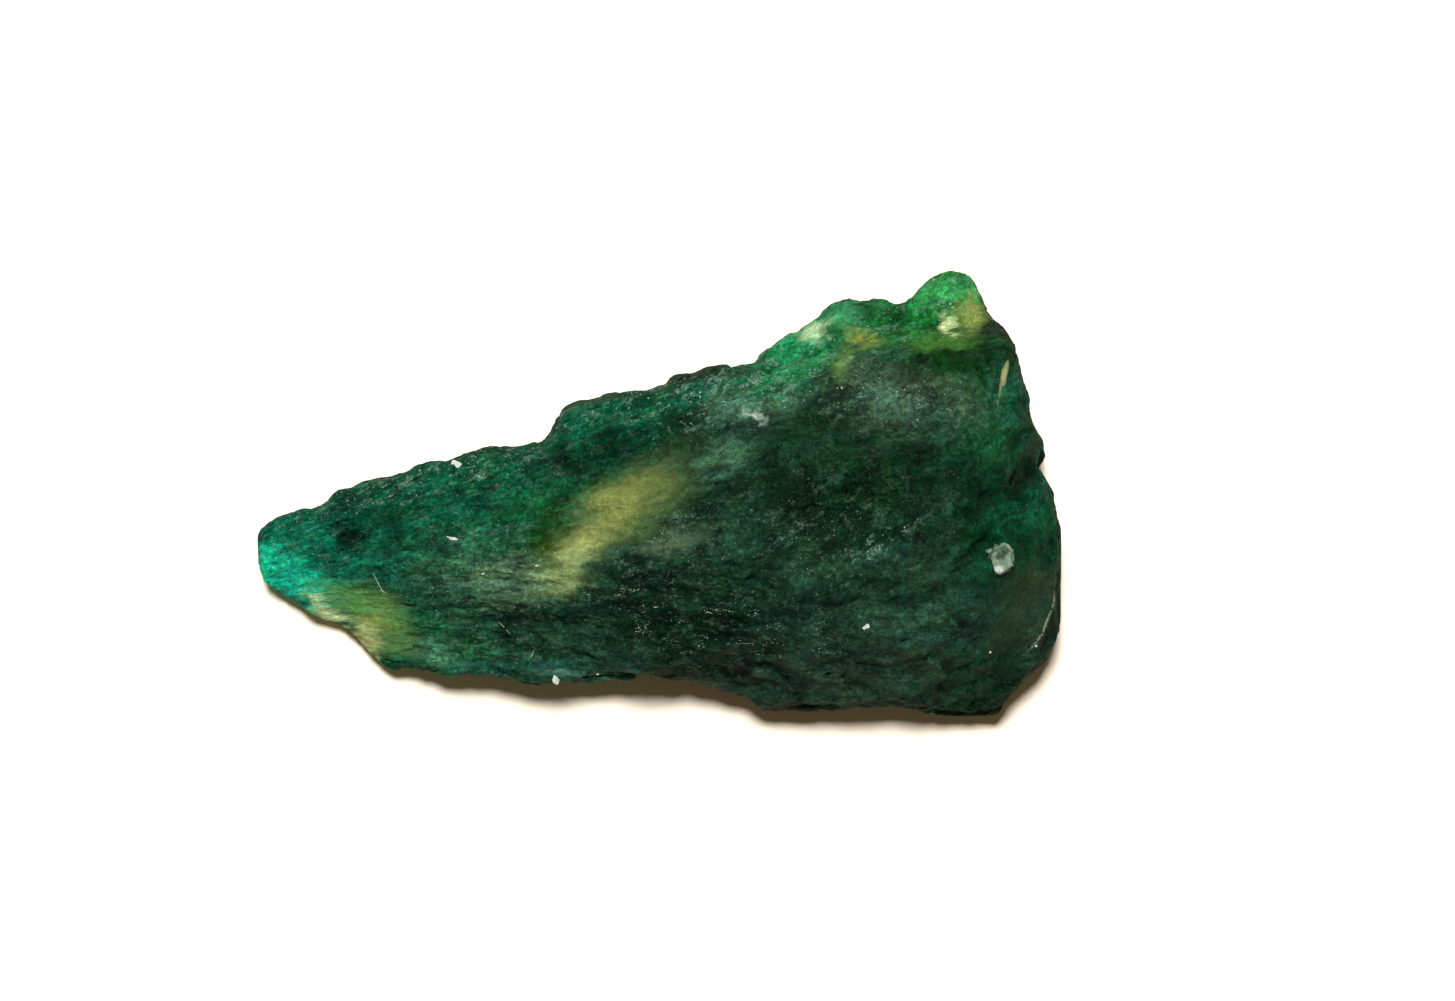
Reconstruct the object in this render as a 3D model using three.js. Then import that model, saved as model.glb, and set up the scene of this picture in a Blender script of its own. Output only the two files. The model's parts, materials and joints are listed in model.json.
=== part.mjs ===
// Rough grandidierite: one splinter of a blue-green mineral, as it was broken out of the rock.
// Millimetres, +Z up. The splinter lies on the flat break under its thick half, its thin tip
// points along -X and hangs clear of the table, and its broad end is towards +X. The origin is
// in the plane of the table, under the middle of the stone's box.
//
// The stone starts as a subdivided block. Its plan is a patch between four outline curves, its
// top is the lowest of several sloping breaks, its underside is the highest of several others,
// and ledges, ribs, hollows and lumps are then raised or sunk in those faces. Its sides are set
// back in steps, as the beds of the mineral broke, and last comes the uneven fracture all over.
import * as THREE from "three";
import { ImprovedNoise } from "three/addons/math/ImprovedNoise.js";
import { mergeVertices } from "three/addons/utils/BufferGeometryUtils.js";

// ---- Driving dimensions ----

// The finished stone fills a box of this size.
const SIZE = new THREE.Vector3(39.8, 22.1, 9.6);

// Cells of the block: along the length, across the width, and up the broken sides.
const CELLS = { along: 62, across: 27, up: 7 };

// The grain of the mineral fans out from a point beyond the thin tip.
const FAN = new THREE.Vector2(-31.3, -6.8);
// Distances from that point to the thin tip and to the middle of the stone.
const THIN_REACH = 12;
const MIDDLE_REACH = 32;
// Ledges and fracture are this much shallower at the thin tip than in the thick half.
const TIP_SHARE = 0.3;

// The widest line of the stone wanders round it, between two shares of the height of its sides.
const GIRDLE = { lowest: 0.3, highest: 0.66, wander: 6 };
// How far the top rim and the bottom rim stand inside that line.
const RIM_INSET = { top: 0.55, bottom: 1.3 };
// The sides break in steps: how thick a bed is, how far one runs, and how deep a step is set back.
const BEDS = { thickness: 1.7, run: 5, depth: 0.65, sharpness: 0.1 };

// Two breaks meet in an edge that is rounded over about this height.
const EDGE_ROUNDING = 0.16;
// A ledge of the top wanders off its line by up to this much, in waves of this length.
const LEDGE_WANDER = { by: 0.3, wave: 1.6 };

// ---- Plan outline, in four runs ----

// Upper edge, from the thin tip to the corner above the broad end.
const UPPER_EDGE = [
  [-20.0, -2.35], [-19.8, -2.0], [-19.5, -1.65], [-19.1, -1.55], [-18.8, -1.2], [-18.2, -1.05],
  [-17.75, -0.8], [-17.05, -0.85], [-16.65, -0.6], [-15.85, 0.05], [-15.3, 0.15], [-14.75, 0.55],
  [-13.75, 0.65], [-12.9, 0.95], [-12.4, 1.2], [-11.9, 1.45], [-11.25, 1.55], [-10.4, 1.6],
  [-9.4, 1.95], [-8.5, 2.2], [-7.05, 2.25], [-5.75, 2.45], [-5.4, 2.95], [-5.05, 3.55],
  [-4.75, 4.1], [-4.5, 4.35], [-3.7, 4.55], [-2.5, 4.85], [-1.7, 4.9], [-0.5, 5.05],
  [0.1, 5.2], [0.6, 5.55], [1.45, 5.75], [2.85, 6.15], [3.95, 6.4], [4.8, 6.45],
  [5.0, 6.7], [5.3, 7.15], [5.75, 7.5], [6.35, 7.75], [7.15, 8.1], [7.95, 8.6],
  [8.65, 9.2], [9.3, 9.6], [10.65, 9.5], [11.6, 9.65], [12.45, 9.7], [12.95, 10.25],
  [13.4, 10.7], [13.9, 11.0], [14.4, 11.1], [14.85, 11.05], [15.25, 10.8], [15.5, 10.4],
  [15.6, 9.9], [15.65, 9.35], [16.0, 9.0], [16.2, 8.55], [16.45, 8.4], [16.9, 8.05], [17.3, 7.55],
];
// Lower edge, from the thin tip to the corner below the broad end.
const LOWER_EDGE = [
  [-19.75, -4.05], [-19.1, -4.65], [-18.45, -5.1], [-17.65, -5.5], [-16.85, -5.95], [-16.35, -6.25],
  [-15.9, -6.35], [-15.4, -6.7], [-15.0, -7.3], [-14.5, -7.8], [-13.95, -8.15], [-13.65, -8.5],
  [-12.9, -8.65], [-11.45, -8.85], [-10.3, -9.05], [-9.5, -9.0], [-8.75, -8.9], [-8.05, -9.05],
  [-7.2, -9.3], [-6.15, -9.4], [-5.35, -9.4], [-4.2, -9.3], [-3.1, -9.2], [-1.95, -9.15],
  [-0.75, -9.05], [0.5, -9.0], [1.45, -9.1], [2.25, -9.25], [2.85, -9.45], [3.6, -9.8],
  [4.4, -10.25], [4.8, -10.45], [5.55, -10.7], [6.6, -10.6], [8.3, -10.7], [9.7, -10.6],
  [10.5, -10.45], [11.75, -10.55], [12.15, -10.65], [13.3, -11.0], [14.9, -11.1], [16.2, -11.0],
  [16.75, -10.75],
];
// Blunt nose of the thin tip, from the lower edge to the upper edge.
const TIP = [[-19.75, -4.05], [-19.95, -3.5], [-19.95, -2.9], [-20.0, -2.35]];
// Broad end, from the lower corner to the upper corner.
const BROAD_END = [
  [16.75, -10.75], [17.15, -10.2], [17.6, -9.7], [17.6, -9.1], [18.1, -8.85], [18.65, -8.35],
  [19.2, -7.75], [19.5, -7.2], [19.75, -6.35], [19.8, -5.5], [19.8, -4.65], [19.85, -4.0],
  [19.85, -3.3], [19.85, -2.55], [19.75, -1.8], [19.65, -1.05], [19.5, -0.45], [19.15, 0.25],
  [18.85, 0.8], [18.7, 1.3], [18.95, 1.75], [18.9, 2.4], [18.65, 3.0], [18.25, 3.6],
  [18.1, 4.1], [18.05, 4.9], [17.8, 5.55], [17.55, 6.35], [17.35, 7.05], [17.3, 7.55],
];

// ---- Breaks: each is a plane through three points [x, y, z] ----

const TOP_BREAKS = [
  // Long slope from the crest down to the upper edge of the thin half.
  [[-20, -2.4, 3.0], [-5, 4.3, 5.3], [-1, -4.0, 7.9]],
  // Long slope from the crest down to the lower edge.
  [[-19, -4.6, 2.7], [4, -10.6, 5.2], [4, -3.5, 8.9]],
  // Nearly level back of the thick half.
  [[2, -3, 8.9], [16, 2, 9.3], [14, -6, 8.7]],
  // Slope behind the back, towards the upper edge.
  [[-1, 1.5, 7.9], [14, 3.4, 9.2], [6, 7.4, 5.9]],
  // Slope of the broad end.
  [[15.5, 0, 9.1], [15.0, -6.5, 8.4], [19.8, -2.5, 5.6]],
  // Lower corner of the broad end.
  [[12.5, -8.6, 7.3], [16.4, -4.8, 8.2], [18.2, -9.4, 4.6]],
];

const UNDER_BREAKS = [
  // Up to the thin tip.
  [[-7, 0, 0], [-7, -6, 0], [-20, -3, 1.3]],
  // Up to the lower edge.
  [[-10, -6.6, 0], [15, -7.4, 0], [3, -10.4, 2.3]],
  // Up to the upper edge.
  [[-8, -0.6, 0], [15, 3.6, 0], [9, 9.6, 2.0]],
  // Up to the broad end.
  [[15.2, -7, 0], [15.0, 4, 0], [19.8, -2, 2.2]],
];

// ---- Relief ----

// A ledge drops the top beyond a line, on the left of the way from its first point to its last,
// over a run, and it dies away past either end of the line within its fade.
const LEDGES = [
  // Thin emerald shelf along the upper edge of the broad half.
  {
    line: [[5.0, 4.6], [6.6, 5.3], [9.2, 5.9], [12.5, 6.6], [15.2, 6.6], [17.6, 6.9]],
    drop: 2.3,
    run: 1.7,
    fade: 0.8,
  },
  // Step where the upper edge jogs outwards.
  {
    line: [[-4.9, 2.2], [-4.0, 2.8], [-1.5, 3.1], [2.5, 3.5], [4.6, 4.4]],
    drop: 0.5,
    run: 0.9,
    fade: 1.0,
  },
  // Low step under the crest of the thin half.
  { line: [[-12, -2.6], [-8, -1.6], [-4.5, -0.4], [0.5, 0.6]], drop: 0.35, run: 0.9, fade: 4.0 },
];

// Ribs and grooves follow the grain: [x, y] from and to, height (below zero for a groove), half width.
const RIBS = [
  { from: [-16.5, -4.6], to: [-4.5, -5.4], height: 0.25, width: 0.8 },
  { from: [-4.5, -5.4], to: [4.0, -2.2], height: 0.35, width: 0.9 },
  { from: [4.0, -2.2], to: [9.5, 1.6], height: 0.3, width: 1.0 },
  { from: [6.5, -6.4], to: [14.0, -1.0], height: 0.3, width: 0.9 },
  { from: [14.0, -1.0], to: [18.3, 1.6], height: 0.4, width: 0.8 },
  { from: [13.2, -5.6], to: [18.6, 0.4], height: -0.6, width: 0.8 },
  { from: [15.8, 6.4], to: [16.6, 3.6], height: -0.5, width: 0.5 },
  { from: [-3.8, 3.9], to: [3.6, 5.4], height: 0.3, width: 0.7 },
  { from: [-2.5, -7.2], to: [9.0, -8.4], height: 0.25, width: 0.9 },
  { from: [2.0, 1.8], to: [13.0, 4.4], height: -0.3, width: 0.8 },
];
// A rib is this share of its height where it starts and ends.
const RIB_ENDS = 0.55;

// Lumps and hollows of the top: centre [x, y], radius, height (below zero for a hollow).
const LUMPS = [
  { at: [-15.3, -2.15], radius: 0.9, height: -0.5 }, // dark pit near the tip
  { at: [16.7, -3.2], radius: 0.7, height: 0.45 }, // pale grain stuck on the broad end
  { at: [14.3, 9.9], radius: 1.9, height: 0.8 }, // round knob of the shelf
  { at: [9.2, 8.4], radius: 1.8, height: 0.5 }, // second knob of the shelf
  { at: [4.6, 4.0], radius: 0.8, height: 0.4 }, // pale crest beside the shelf
  { at: [18.3, -3.6], radius: 2.4, height: 0.6 }, // lobe of the broad end
  { at: [10.2, -7.0], radius: 2.8, height: -0.4 },
  { at: [-9.0, -7.2], radius: 2.5, height: -0.35 },
  { at: [8.6, -1.6], radius: 3.0, height: -0.4 },
  { at: [12.6, 1.2], radius: 2.3, height: 0.3 },
  { at: [-1.2, -7.6], radius: 1.9, height: 0.3 },
];

// Small scoops broken out of the rim, one after another, along shares of an edge's length.
const SCALLOPS = [
  { edge: "upper", from: 0.03, to: 0.36, count: 8, radius: 1.3, depth: 0.5 },
  { edge: "upper", from: 0.5, to: 0.66, count: 3, radius: 1.7, depth: 0.45 },
  { edge: "lower", from: 0.14, to: 0.58, count: 5, radius: 2.2, depth: 0.4 },
  { edge: "lower", from: 0.66, to: 0.95, count: 3, radius: 2.6, depth: 0.6 },
  { edge: "broadEnd", from: 0.1, to: 0.9, count: 5, radius: 2.3, depth: 0.8 },
];

// Uneven fracture all over: its size along and across the grain, and its depth. The splinters
// meet in sharp ridges, and the grit between them is rounded.
const SPLINTERS = { along: 9, across: 3.4, depth: 0.3 };
const GRIT = { along: 2.6, across: 1.6, depth: 0.08 };
// The fracture is full from this height above the table, so that the flat break stays flat.
const FLAT_HEIGHT = 0.8;
// Beds and fracture are full from this share of the side's height off the widest line, because
// the outline gives that line its own unevenness.
const OUTLINE_HOLD = 0.22;

// ---- Helpers ----

const noise = new ImprovedNoise();

function smoothStep(low, high, value) {
  return THREE.MathUtils.smoothstep(value, low, high);
}

// The lower of two heights, with the edge between them rounded over.
function smoothMin(a, b) {
  const share = THREE.MathUtils.clamp((1 + (b - a) / EDGE_ROUNDING) / 2, 0, 1);
  return THREE.MathUtils.lerp(b, a, share) - EDGE_ROUNDING * share * (1 - share);
}

// Height of the plane through three points, as a function of the plan position.
function breakHeight(points) {
  const corners = points.map((point) => new THREE.Vector3(...point));
  const { normal, constant } = new THREE.Plane().setFromCoplanarPoints(...corners);
  return (x, y) => -(normal.x * x + normal.y * y + constant) / normal.z;
}

// Where a position lies beside a stretch of line: how far off, on which side (above zero on its
// left), at what share of the stretch, and how far past its nearer end.
function besideStretch(x, y, [x1, y1], [x2, y2]) {
  const dx = x2 - x1;
  const dy = y2 - y1;
  const along = ((x - x1) * dx + (y - y1) * dy) / (dx * dx + dy * dy);
  const share = THREE.MathUtils.clamp(along, 0, 1);
  const distance = Math.hypot(x - x1 - share * dx, y - y1 - share * dy);
  const side = Math.sign(dx * (y - y1) - dy * (x - x1));
  const past = Math.abs(along - share) * Math.hypot(dx, dy);
  return { distance, side, share, past };
}

// The same beside a broken line: its nearest stretch counts, and only its two ends can be passed.
function besideLine(x, y, line) {
  const last = line.length - 1;
  let nearest = { distance: Infinity };
  for (let i = 1; i <= last; i += 1) {
    const found = besideStretch(x, y, line[i - 1], line[i]);
    const atAnEnd = (i === 1 && found.share === 0) || (i === last && found.share === 1);
    const past = atAnEnd ? found.past : 0;
    if (found.distance < nearest.distance) nearest = { ...found, past };
  }
  return nearest;
}

// ---- Plan: a patch between the four outline curves ----

function outlineCurve(points) {
  const curve = new THREE.SplineCurve(points.map((point) => new THREE.Vector2(...point)));
  curve.arcLengthDivisions = 800;
  return curve;
}

const edges = {
  upper: outlineCurve(UPPER_EDGE),
  lower: outlineCurve(LOWER_EDGE),
  tip: outlineCurve(TIP),
  broadEnd: outlineCurve(BROAD_END),
};

// Plan position for a, from the tip to the broad end, and b, from the lower edge to the upper.
function planAt(a, b) {
  const { upper, lower, tip, broadEnd } = edges;
  const corners = new THREE.Vector2()
    .addScaledVector(lower.getPointAt(0), (1 - a) * (1 - b))
    .addScaledVector(lower.getPointAt(1), a * (1 - b))
    .addScaledVector(upper.getPointAt(0), (1 - a) * b)
    .addScaledVector(upper.getPointAt(1), a * b);
  return new THREE.Vector2()
    .addScaledVector(lower.getPointAt(a), 1 - b)
    .addScaledVector(upper.getPointAt(a), b)
    .addScaledVector(tip.getPointAt(b), 1 - a)
    .addScaledVector(broadEnd.getPointAt(b), a)
    .sub(corners);
}

// The plan position drawn in from the outline by a distance.
function planInset(a, b, inset) {
  const shareA = inset / SIZE.x;
  const shareB = inset / SIZE.y;
  return planAt(THREE.MathUtils.lerp(shareA, 1 - shareA, a), THREE.MathUtils.lerp(shareB, 1 - shareB, b));
}

// ---- Heights ----

const topBreaks = TOP_BREAKS.map(breakHeight);
const underBreaks = UNDER_BREAKS.map(breakHeight);

// One scoop for each place along the edges that the scallops name.
const scoops = SCALLOPS.flatMap(({ edge, from, to, count, radius, depth }) =>
  Array.from({ length: count }, (_, i) => ({
    centre: edges[edge].getPointAt(THREE.MathUtils.lerp(from, to, i / (count - 1))),
    radius,
    depth,
  })),
);

function ledgeDrop(x, y) {
  const { by, wave } = LEDGE_WANDER;
  return LEDGES.reduce((sum, { line, drop, run, fade }) => {
    const { distance, side, past } = besideLine(x, y, line);
    const wander = by * noise.noise(x / wave, y / wave, drop);
    const beyond = smoothStep(0, run, distance * side + wander);
    return sum + drop * beyond * (1 - smoothStep(0, fade, past));
  }, 0);
}

function ribRise(x, y) {
  return RIBS.reduce((sum, { from, to, height, width }) => {
    const { distance, share } = besideStretch(x, y, from, to);
    const fade = THREE.MathUtils.lerp(RIB_ENDS, 1, Math.sin(Math.PI * share));
    return sum + height * fade * Math.exp(-((distance / width) ** 2));
  }, 0);
}

function lumpRise(x, y) {
  return LUMPS.reduce((sum, { at, radius, height }) => {
    const distance = Math.hypot(x - at[0], y - at[1]);
    return sum + height * Math.exp(-2 * (distance / radius) ** 2);
  }, 0);
}

// The scoops are rounded hollows with a sharp lip, and where two overlap the deeper one shows.
function scoopDepth(x, y) {
  return scoops.reduce((deepest, { centre, radius, depth }) => {
    const distance = Math.hypot(x - centre.x, y - centre.y);
    return Math.max(deepest, depth * (1 - (distance / radius) ** 2));
  }, 0);
}

function topHeight(x, y) {
  const base = topBreaks.map((height) => height(x, y)).reduce(smoothMin);
  return base - ledgeDrop(x, y) + ribRise(x, y) + lumpRise(x, y) - scoopDepth(x, y);
}

function underHeight(x, y) {
  return Math.max(0, ...underBreaks.map((height) => height(x, y)));
}

// ---- Grain ----

// Place in the fan of the grain: distance from its point, and distance round it at mid-stone.
function grainPlace(x, y) {
  const reach = Math.hypot(x - FAN.x, y - FAN.y);
  const swing = Math.atan2(y - FAN.y, x - FAN.x) * MIDDLE_REACH;
  return { reach, swing };
}

// 1 in the thick half, falling to TIP_SHARE at the thin tip.
function coarseness(x, y) {
  const { reach } = grainPlace(x, y);
  return THREE.MathUtils.lerp(TIP_SHARE, 1, smoothStep(THIN_REACH, MIDDLE_REACH, reach));
}

// How far the fracture stands out at a point, drawn out along the fan of the grain.
function unevenness({ x, y, z }) {
  const { reach, swing } = grainPlace(x, y);
  const { along, across, depth } = SPLINTERS;
  const ridge = 0.5 - 2 * Math.abs(noise.noise(reach / along, swing / across, z / across));
  const grit = noise.noise(reach / GRIT.along, swing / GRIT.across, z / GRIT.across);
  return coarseness(x, y) * (depth * ridge + GRIT.depth * grit);
}

// ---- The block, moved to the stone's form ----

// Share of the side's height at which it is widest.
function girdleShare(x, y) {
  const { lowest, highest, wander } = GIRDLE;
  const share = 0.5 + noise.noise(x / wander, y / wander, wander);
  return THREE.MathUtils.lerp(lowest, highest, THREE.MathUtils.clamp(share, 0, 1));
}

// How far the side stands in from its widest line, at a share of its height.
function rimInset(girdle, share) {
  if (share < girdle) return RIM_INSET.bottom * ((girdle - share) / girdle) ** 2;
  return RIM_INSET.top * ((share - girdle) / (1 - girdle)) ** 2;
}

// How far a bed of the mineral is set back.
function bedInset({ x, y, z }) {
  const { thickness, run, depth, sharpness } = BEDS;
  const parting = noise.noise(x / run, y / run, z / thickness);
  return depth * coarseness(x, y) * smoothStep(-sharpness, sharpness, parting);
}

// How freely beds and fracture move a place of the block: not at all on its widest line.
function freedomAt(girdle, share) {
  return smoothStep(0, OUTLINE_HOLD, Math.abs(share - girdle));
}

function placeAt(plan, share) {
  const z = THREE.MathUtils.lerp(underHeight(plan.x, plan.y), topHeight(plan.x, plan.y), share);
  return new THREE.Vector3(plan.x, plan.y, z);
}

// The stone's point for a place in the block, a and b in plan and its share of the height, and
// how freely the fracture moves it. The beds step back between the rims, not at them.
function stonePoint(a, b, share) {
  const outer = planAt(a, b);
  const girdle = girdleShare(outer.x, outer.y);
  const freedom = freedomAt(girdle, share);
  const inset = rimInset(girdle, share);
  const smooth = placeAt(planInset(a, b, inset), share);
  const step = bedInset(smooth) * freedom * Math.sin(Math.PI * share);
  return { point: placeAt(planInset(a, b, inset + step), share), freedom };
}

// Moves each vertex along its normal by the fracture, except on the flat that the stone lies on.
function roughen(geometry) {
  geometry.computeVertexNormals();
  const places = geometry.getAttribute("position");
  const normals = geometry.getAttribute("normal");
  const freedoms = geometry.getAttribute("freedom");
  const point = new THREE.Vector3();
  const normal = new THREE.Vector3();
  for (let i = 0; i < places.count; i += 1) {
    point.fromBufferAttribute(places, i);
    normal.fromBufferAttribute(normals, i);
    const freedom = freedoms.getX(i) * smoothStep(0, FLAT_HEIGHT, point.z);
    point.addScaledVector(normal, unevenness(point) * freedom);
    places.setXYZ(i, point.x, point.y, Math.max(0, point.z));
  }
}

// Brings the stone to its box, centred over the origin and standing on the table.
function fitToSize(geometry) {
  geometry.computeBoundingBox();
  const { min, max } = geometry.boundingBox;
  const scale = SIZE.clone().divide(max.clone().sub(min));
  geometry.translate(-(min.x + max.x) / 2, -(min.y + max.y) / 2, -min.z);
  geometry.scale(scale.x, scale.y, scale.z);
}

function stoneGeometry() {
  const block = new THREE.BoxGeometry(1, 1, 1, CELLS.along, CELLS.across, CELLS.up);
  block.translate(0.5, 0.5, 0.5);
  const places = block.getAttribute("position");
  const freedoms = new THREE.BufferAttribute(new Float32Array(places.count), 1);
  for (let i = 0; i < places.count; i += 1) {
    const { point, freedom } = stonePoint(places.getX(i), places.getY(i), places.getZ(i));
    places.setXYZ(i, point.x, point.y, point.z);
    freedoms.setX(i, freedom);
  }
  block.setAttribute("freedom", freedoms);
  block.deleteAttribute("normal");
  block.deleteAttribute("uv");
  const stone = mergeVertices(block, 1e-4);
  roughen(stone);
  fitToSize(stone);
  stone.computeVertexNormals();
  return stone;
}

const mineral = new THREE.MeshStandardMaterial({ color: 0x1d5a44, roughness: 0.45, metalness: 0 });

const stone = new THREE.Mesh(stoneGeometry(), mineral);
stone.name = "grandidierite_splinter";

const specimen = new THREE.Group();
specimen.add(stone);

export default specimen;
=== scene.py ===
# %% [markdown]
# # A rough splinter of grandidierite
# Grandidierite is a hard blue-green mineral. This piece was broken out of a bigger lump: a wedge
# about 40 mm long, thin at its left end and blunt at its right, with a fibrous, cloudy surface.
# The stone already exists as a plain solid. Here it gets its fine relief, its small foreign
# grains and its colours. The solid stays where it is and everything is measured from it.

# %% Load the plain stone
import json
import math

import bpy
import numpy as np
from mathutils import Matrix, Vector, noise

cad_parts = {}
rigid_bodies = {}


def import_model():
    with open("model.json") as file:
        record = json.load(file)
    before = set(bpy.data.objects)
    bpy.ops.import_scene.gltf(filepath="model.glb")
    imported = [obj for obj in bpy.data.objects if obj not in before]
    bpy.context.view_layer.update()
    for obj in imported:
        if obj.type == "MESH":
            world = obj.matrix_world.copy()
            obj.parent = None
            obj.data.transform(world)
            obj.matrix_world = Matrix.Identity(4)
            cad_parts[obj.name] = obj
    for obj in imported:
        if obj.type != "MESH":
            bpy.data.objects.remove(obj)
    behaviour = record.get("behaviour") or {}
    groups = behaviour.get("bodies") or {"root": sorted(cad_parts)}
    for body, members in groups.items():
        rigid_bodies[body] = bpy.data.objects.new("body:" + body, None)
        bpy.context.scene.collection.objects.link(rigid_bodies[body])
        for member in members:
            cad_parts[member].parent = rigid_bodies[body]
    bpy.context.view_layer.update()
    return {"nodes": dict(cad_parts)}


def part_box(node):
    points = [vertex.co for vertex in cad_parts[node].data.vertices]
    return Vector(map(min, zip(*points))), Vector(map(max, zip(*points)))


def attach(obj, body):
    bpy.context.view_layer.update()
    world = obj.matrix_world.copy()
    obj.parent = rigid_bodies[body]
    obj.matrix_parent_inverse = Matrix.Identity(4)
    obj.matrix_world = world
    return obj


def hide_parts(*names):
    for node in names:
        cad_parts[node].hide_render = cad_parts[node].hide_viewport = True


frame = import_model()
MM = 0.001
SOLID = "grandidierite_splinter"
low_corner, high_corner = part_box(SOLID)
print("plain stone, mm:", [round(side / MM, 2) for side in high_corner - low_corner])

# %% [markdown]
# ## Camera
# A stone this small is looked at from straight above, from half a metre away, so that its near
# and far parts keep their proportions. A long lens does that. Its focal length follows from the
# width that has to fit in the picture, which is easier to reason about than the lens itself.

# %% Camera
SENSOR = 36.0
SEEN_WIDTH = 71.85 * MM
LOOK_FROM = 0.5
LOOK_AT = (3.41 * MM, -0.35 * MM)
LOOK_HEIGHT = 4 * MM
NEAREST, FARTHEST = 0.01, 20

bpy.ops.object.camera_add(location=(*LOOK_AT, LOOK_HEIGHT + LOOK_FROM), rotation=(0, 0, 0))
camera = bpy.context.object
camera.name = "camera"
camera.data.sensor_width = SENSOR
camera.data.lens = SENSOR * LOOK_FROM / SEEN_WIDTH
camera.data.clip_start, camera.data.clip_end = NEAREST, FARTHEST
bpy.context.scene.camera = camera
print("lens, mm:", round(camera.data.lens, 1))

# %% [markdown]
# ## Lamp and room
# One large soft lamp hangs beyond the stone, strong enough to make the white table pure white.
# What little light the shadow gets comes from the warm room, so the shadow is brownish. An area
# lamp would do, but a sun lamp with a wide angle gives the same softness all over the table.

# %% Lamp and room
KEY_FROM = Vector((-0.03, 0.30, 1.0))
KEY_STRENGTH = 5.0
KEY_SPREAD = math.radians(12)
ROOM_TONE = (1.0, 0.77, 0.44, 1.0)
ROOM_STRENGTH = 0.11

bpy.ops.object.light_add(type="SUN", location=KEY_FROM)
key = bpy.context.object
key.name = "soft_lamp"
key.data.energy = KEY_STRENGTH
key.data.angle = KEY_SPREAD
key.rotation_euler = KEY_FROM.to_track_quat("Z", "Y").to_euler()

room = bpy.data.worlds.new("room")
bpy.context.scene.world = room
room.use_nodes = True
room.node_tree.nodes["Background"].inputs["Color"].default_value = ROOM_TONE
room.node_tree.nodes["Background"].inputs["Strength"].default_value = ROOM_STRENGTH
bpy.context.scene.view_settings.view_transform = "Standard"
print("lamp strength:", KEY_STRENGTH, "room strength:", ROOM_STRENGTH)

# %% [markdown]
# ## Shader sums in plain Python
# A pattern in a material is arithmetic on numbers that vary over the surface. The nodes could be
# added one by one, but long sums are hard to read that way. So a small class wraps one output
# socket, and `1 - mask * 0.5` adds the Math nodes by itself. Every other node comes from one
# method, which takes its type, its settings and what goes into its sockets.

# %% Shader wires
class Wire:
    """What comes out of a shader node. Arithmetic on it adds the nodes that do it."""

    tree = None

    def __init__(self, socket):
        self.socket = socket

    @classmethod
    def node(cls, kind, settings, inputs, output=0):
        made = cls.tree.nodes.new("ShaderNode" + kind)
        for name, value in settings.items():
            setattr(made, name, value)
        for place, value in inputs.items():
            if isinstance(value, Wire):
                cls.tree.links.new(value.socket, made.inputs[place])
            else:
                made.inputs[place].default_value = value
        return cls(made.outputs[output])

    def joined(self, how, *sides):
        if all(not isinstance(side, Wire) or side.socket.type == "VALUE" for side in sides):
            return Wire.node("Math", {"operation": how}, dict(enumerate(sides)))
        sides = [side if isinstance(side, (Wire, tuple)) else (side,) * 3 for side in sides]
        return Wire.node("VectorMath", {"operation": how}, dict(enumerate(sides)))

    def __add__(self, other):
        return self.joined("ADD", self, other)

    def __radd__(self, other):
        return self.joined("ADD", other, self)

    def __sub__(self, other):
        return self.joined("SUBTRACT", self, other)

    def __rsub__(self, other):
        return self.joined("SUBTRACT", other, self)

    def __mul__(self, other):
        return self.joined("MULTIPLY", self, other)

    def __rmul__(self, other):
        return self.joined("MULTIPLY", other, self)

    def into(self, shader, name):
        """Plugs this wire into a named socket of a shader."""
        Wire.tree.links.new(self.socket, shader.inputs[name])


print("wires can be added, subtracted and multiplied")

# %% [markdown]
# ## Finishes and tones
# A finish is a material with its main shader. Colours are picked as numbers from 0 to 255, as in
# any paint program, and made linear, because a shader reckons with amounts of light. Two colours
# are blended by a Mix node, and a soft rise turns a number into a mask.

# %% Finishes, tones and masks
def new_finish(name):
    """An empty material and its main shader. The next wires belong to it."""
    made = bpy.data.materials.new(name)
    made.use_nodes = True
    Wire.tree = made.node_tree
    return made, made.node_tree.nodes["Principled BSDF"]


def wear(piece, finish):
    """The piece gets this finish and no other."""
    piece.data.materials.clear()
    piece.data.materials.append(finish)


def tone(red, green, blue):
    """A colour picked as 0 to 255, made linear, as a shader wants it."""
    shares = [part / 255 for part in (red, green, blue)]
    return tuple(s / 12.92 if s < 0.04045 else ((s + 0.055) / 1.055) ** 2.4 for s in shares)


def mixed(below, above, share):
    """The colour above laid over the one below, as much as share says."""
    return Wire.node("Mix", {"data_type": "VECTOR"}, {0: share, 4: below, 5: above}, output=1)


def rising(value, start, end):
    """0 below start, 1 above end, and a soft rise between them."""
    ends = {"Value": value, "From Min": start, "From Max": end}
    return Wire.node("MapRange", {"interpolation_type": "SMOOTHSTEP"}, ends)


print("middle grey in linear light:", round(tone(128, 128, 128)[0], 3))

# %% [markdown]
# ## Noise
# Everything cloudy, mottled or speckled here starts as noise in the piece's own millimetres.
# Object coordinates are used, so a pattern runs through the stone like real colour and has no
# seams. Noise crowds around one half, so it is stretched before it serves as a mask.

# %% Noise in millimetres
def in_mm():
    """Where a point of the piece is, in millimetres."""
    return Wire.node("TexCoord", {}, {}, output="Object") * (1 / MM)


def clouds(place, scale, detail=3.0, roughness=0.55):
    """Soft noise from 0 to 1, with about scale spots per unit of place."""
    values = {"Vector": place, "Scale": scale, "Detail": detail, "Roughness": roughness}
    return Wire.node("TexNoise", {}, values)


NOISE_LOW, NOISE_HIGH = 0.3, 0.7


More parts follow.
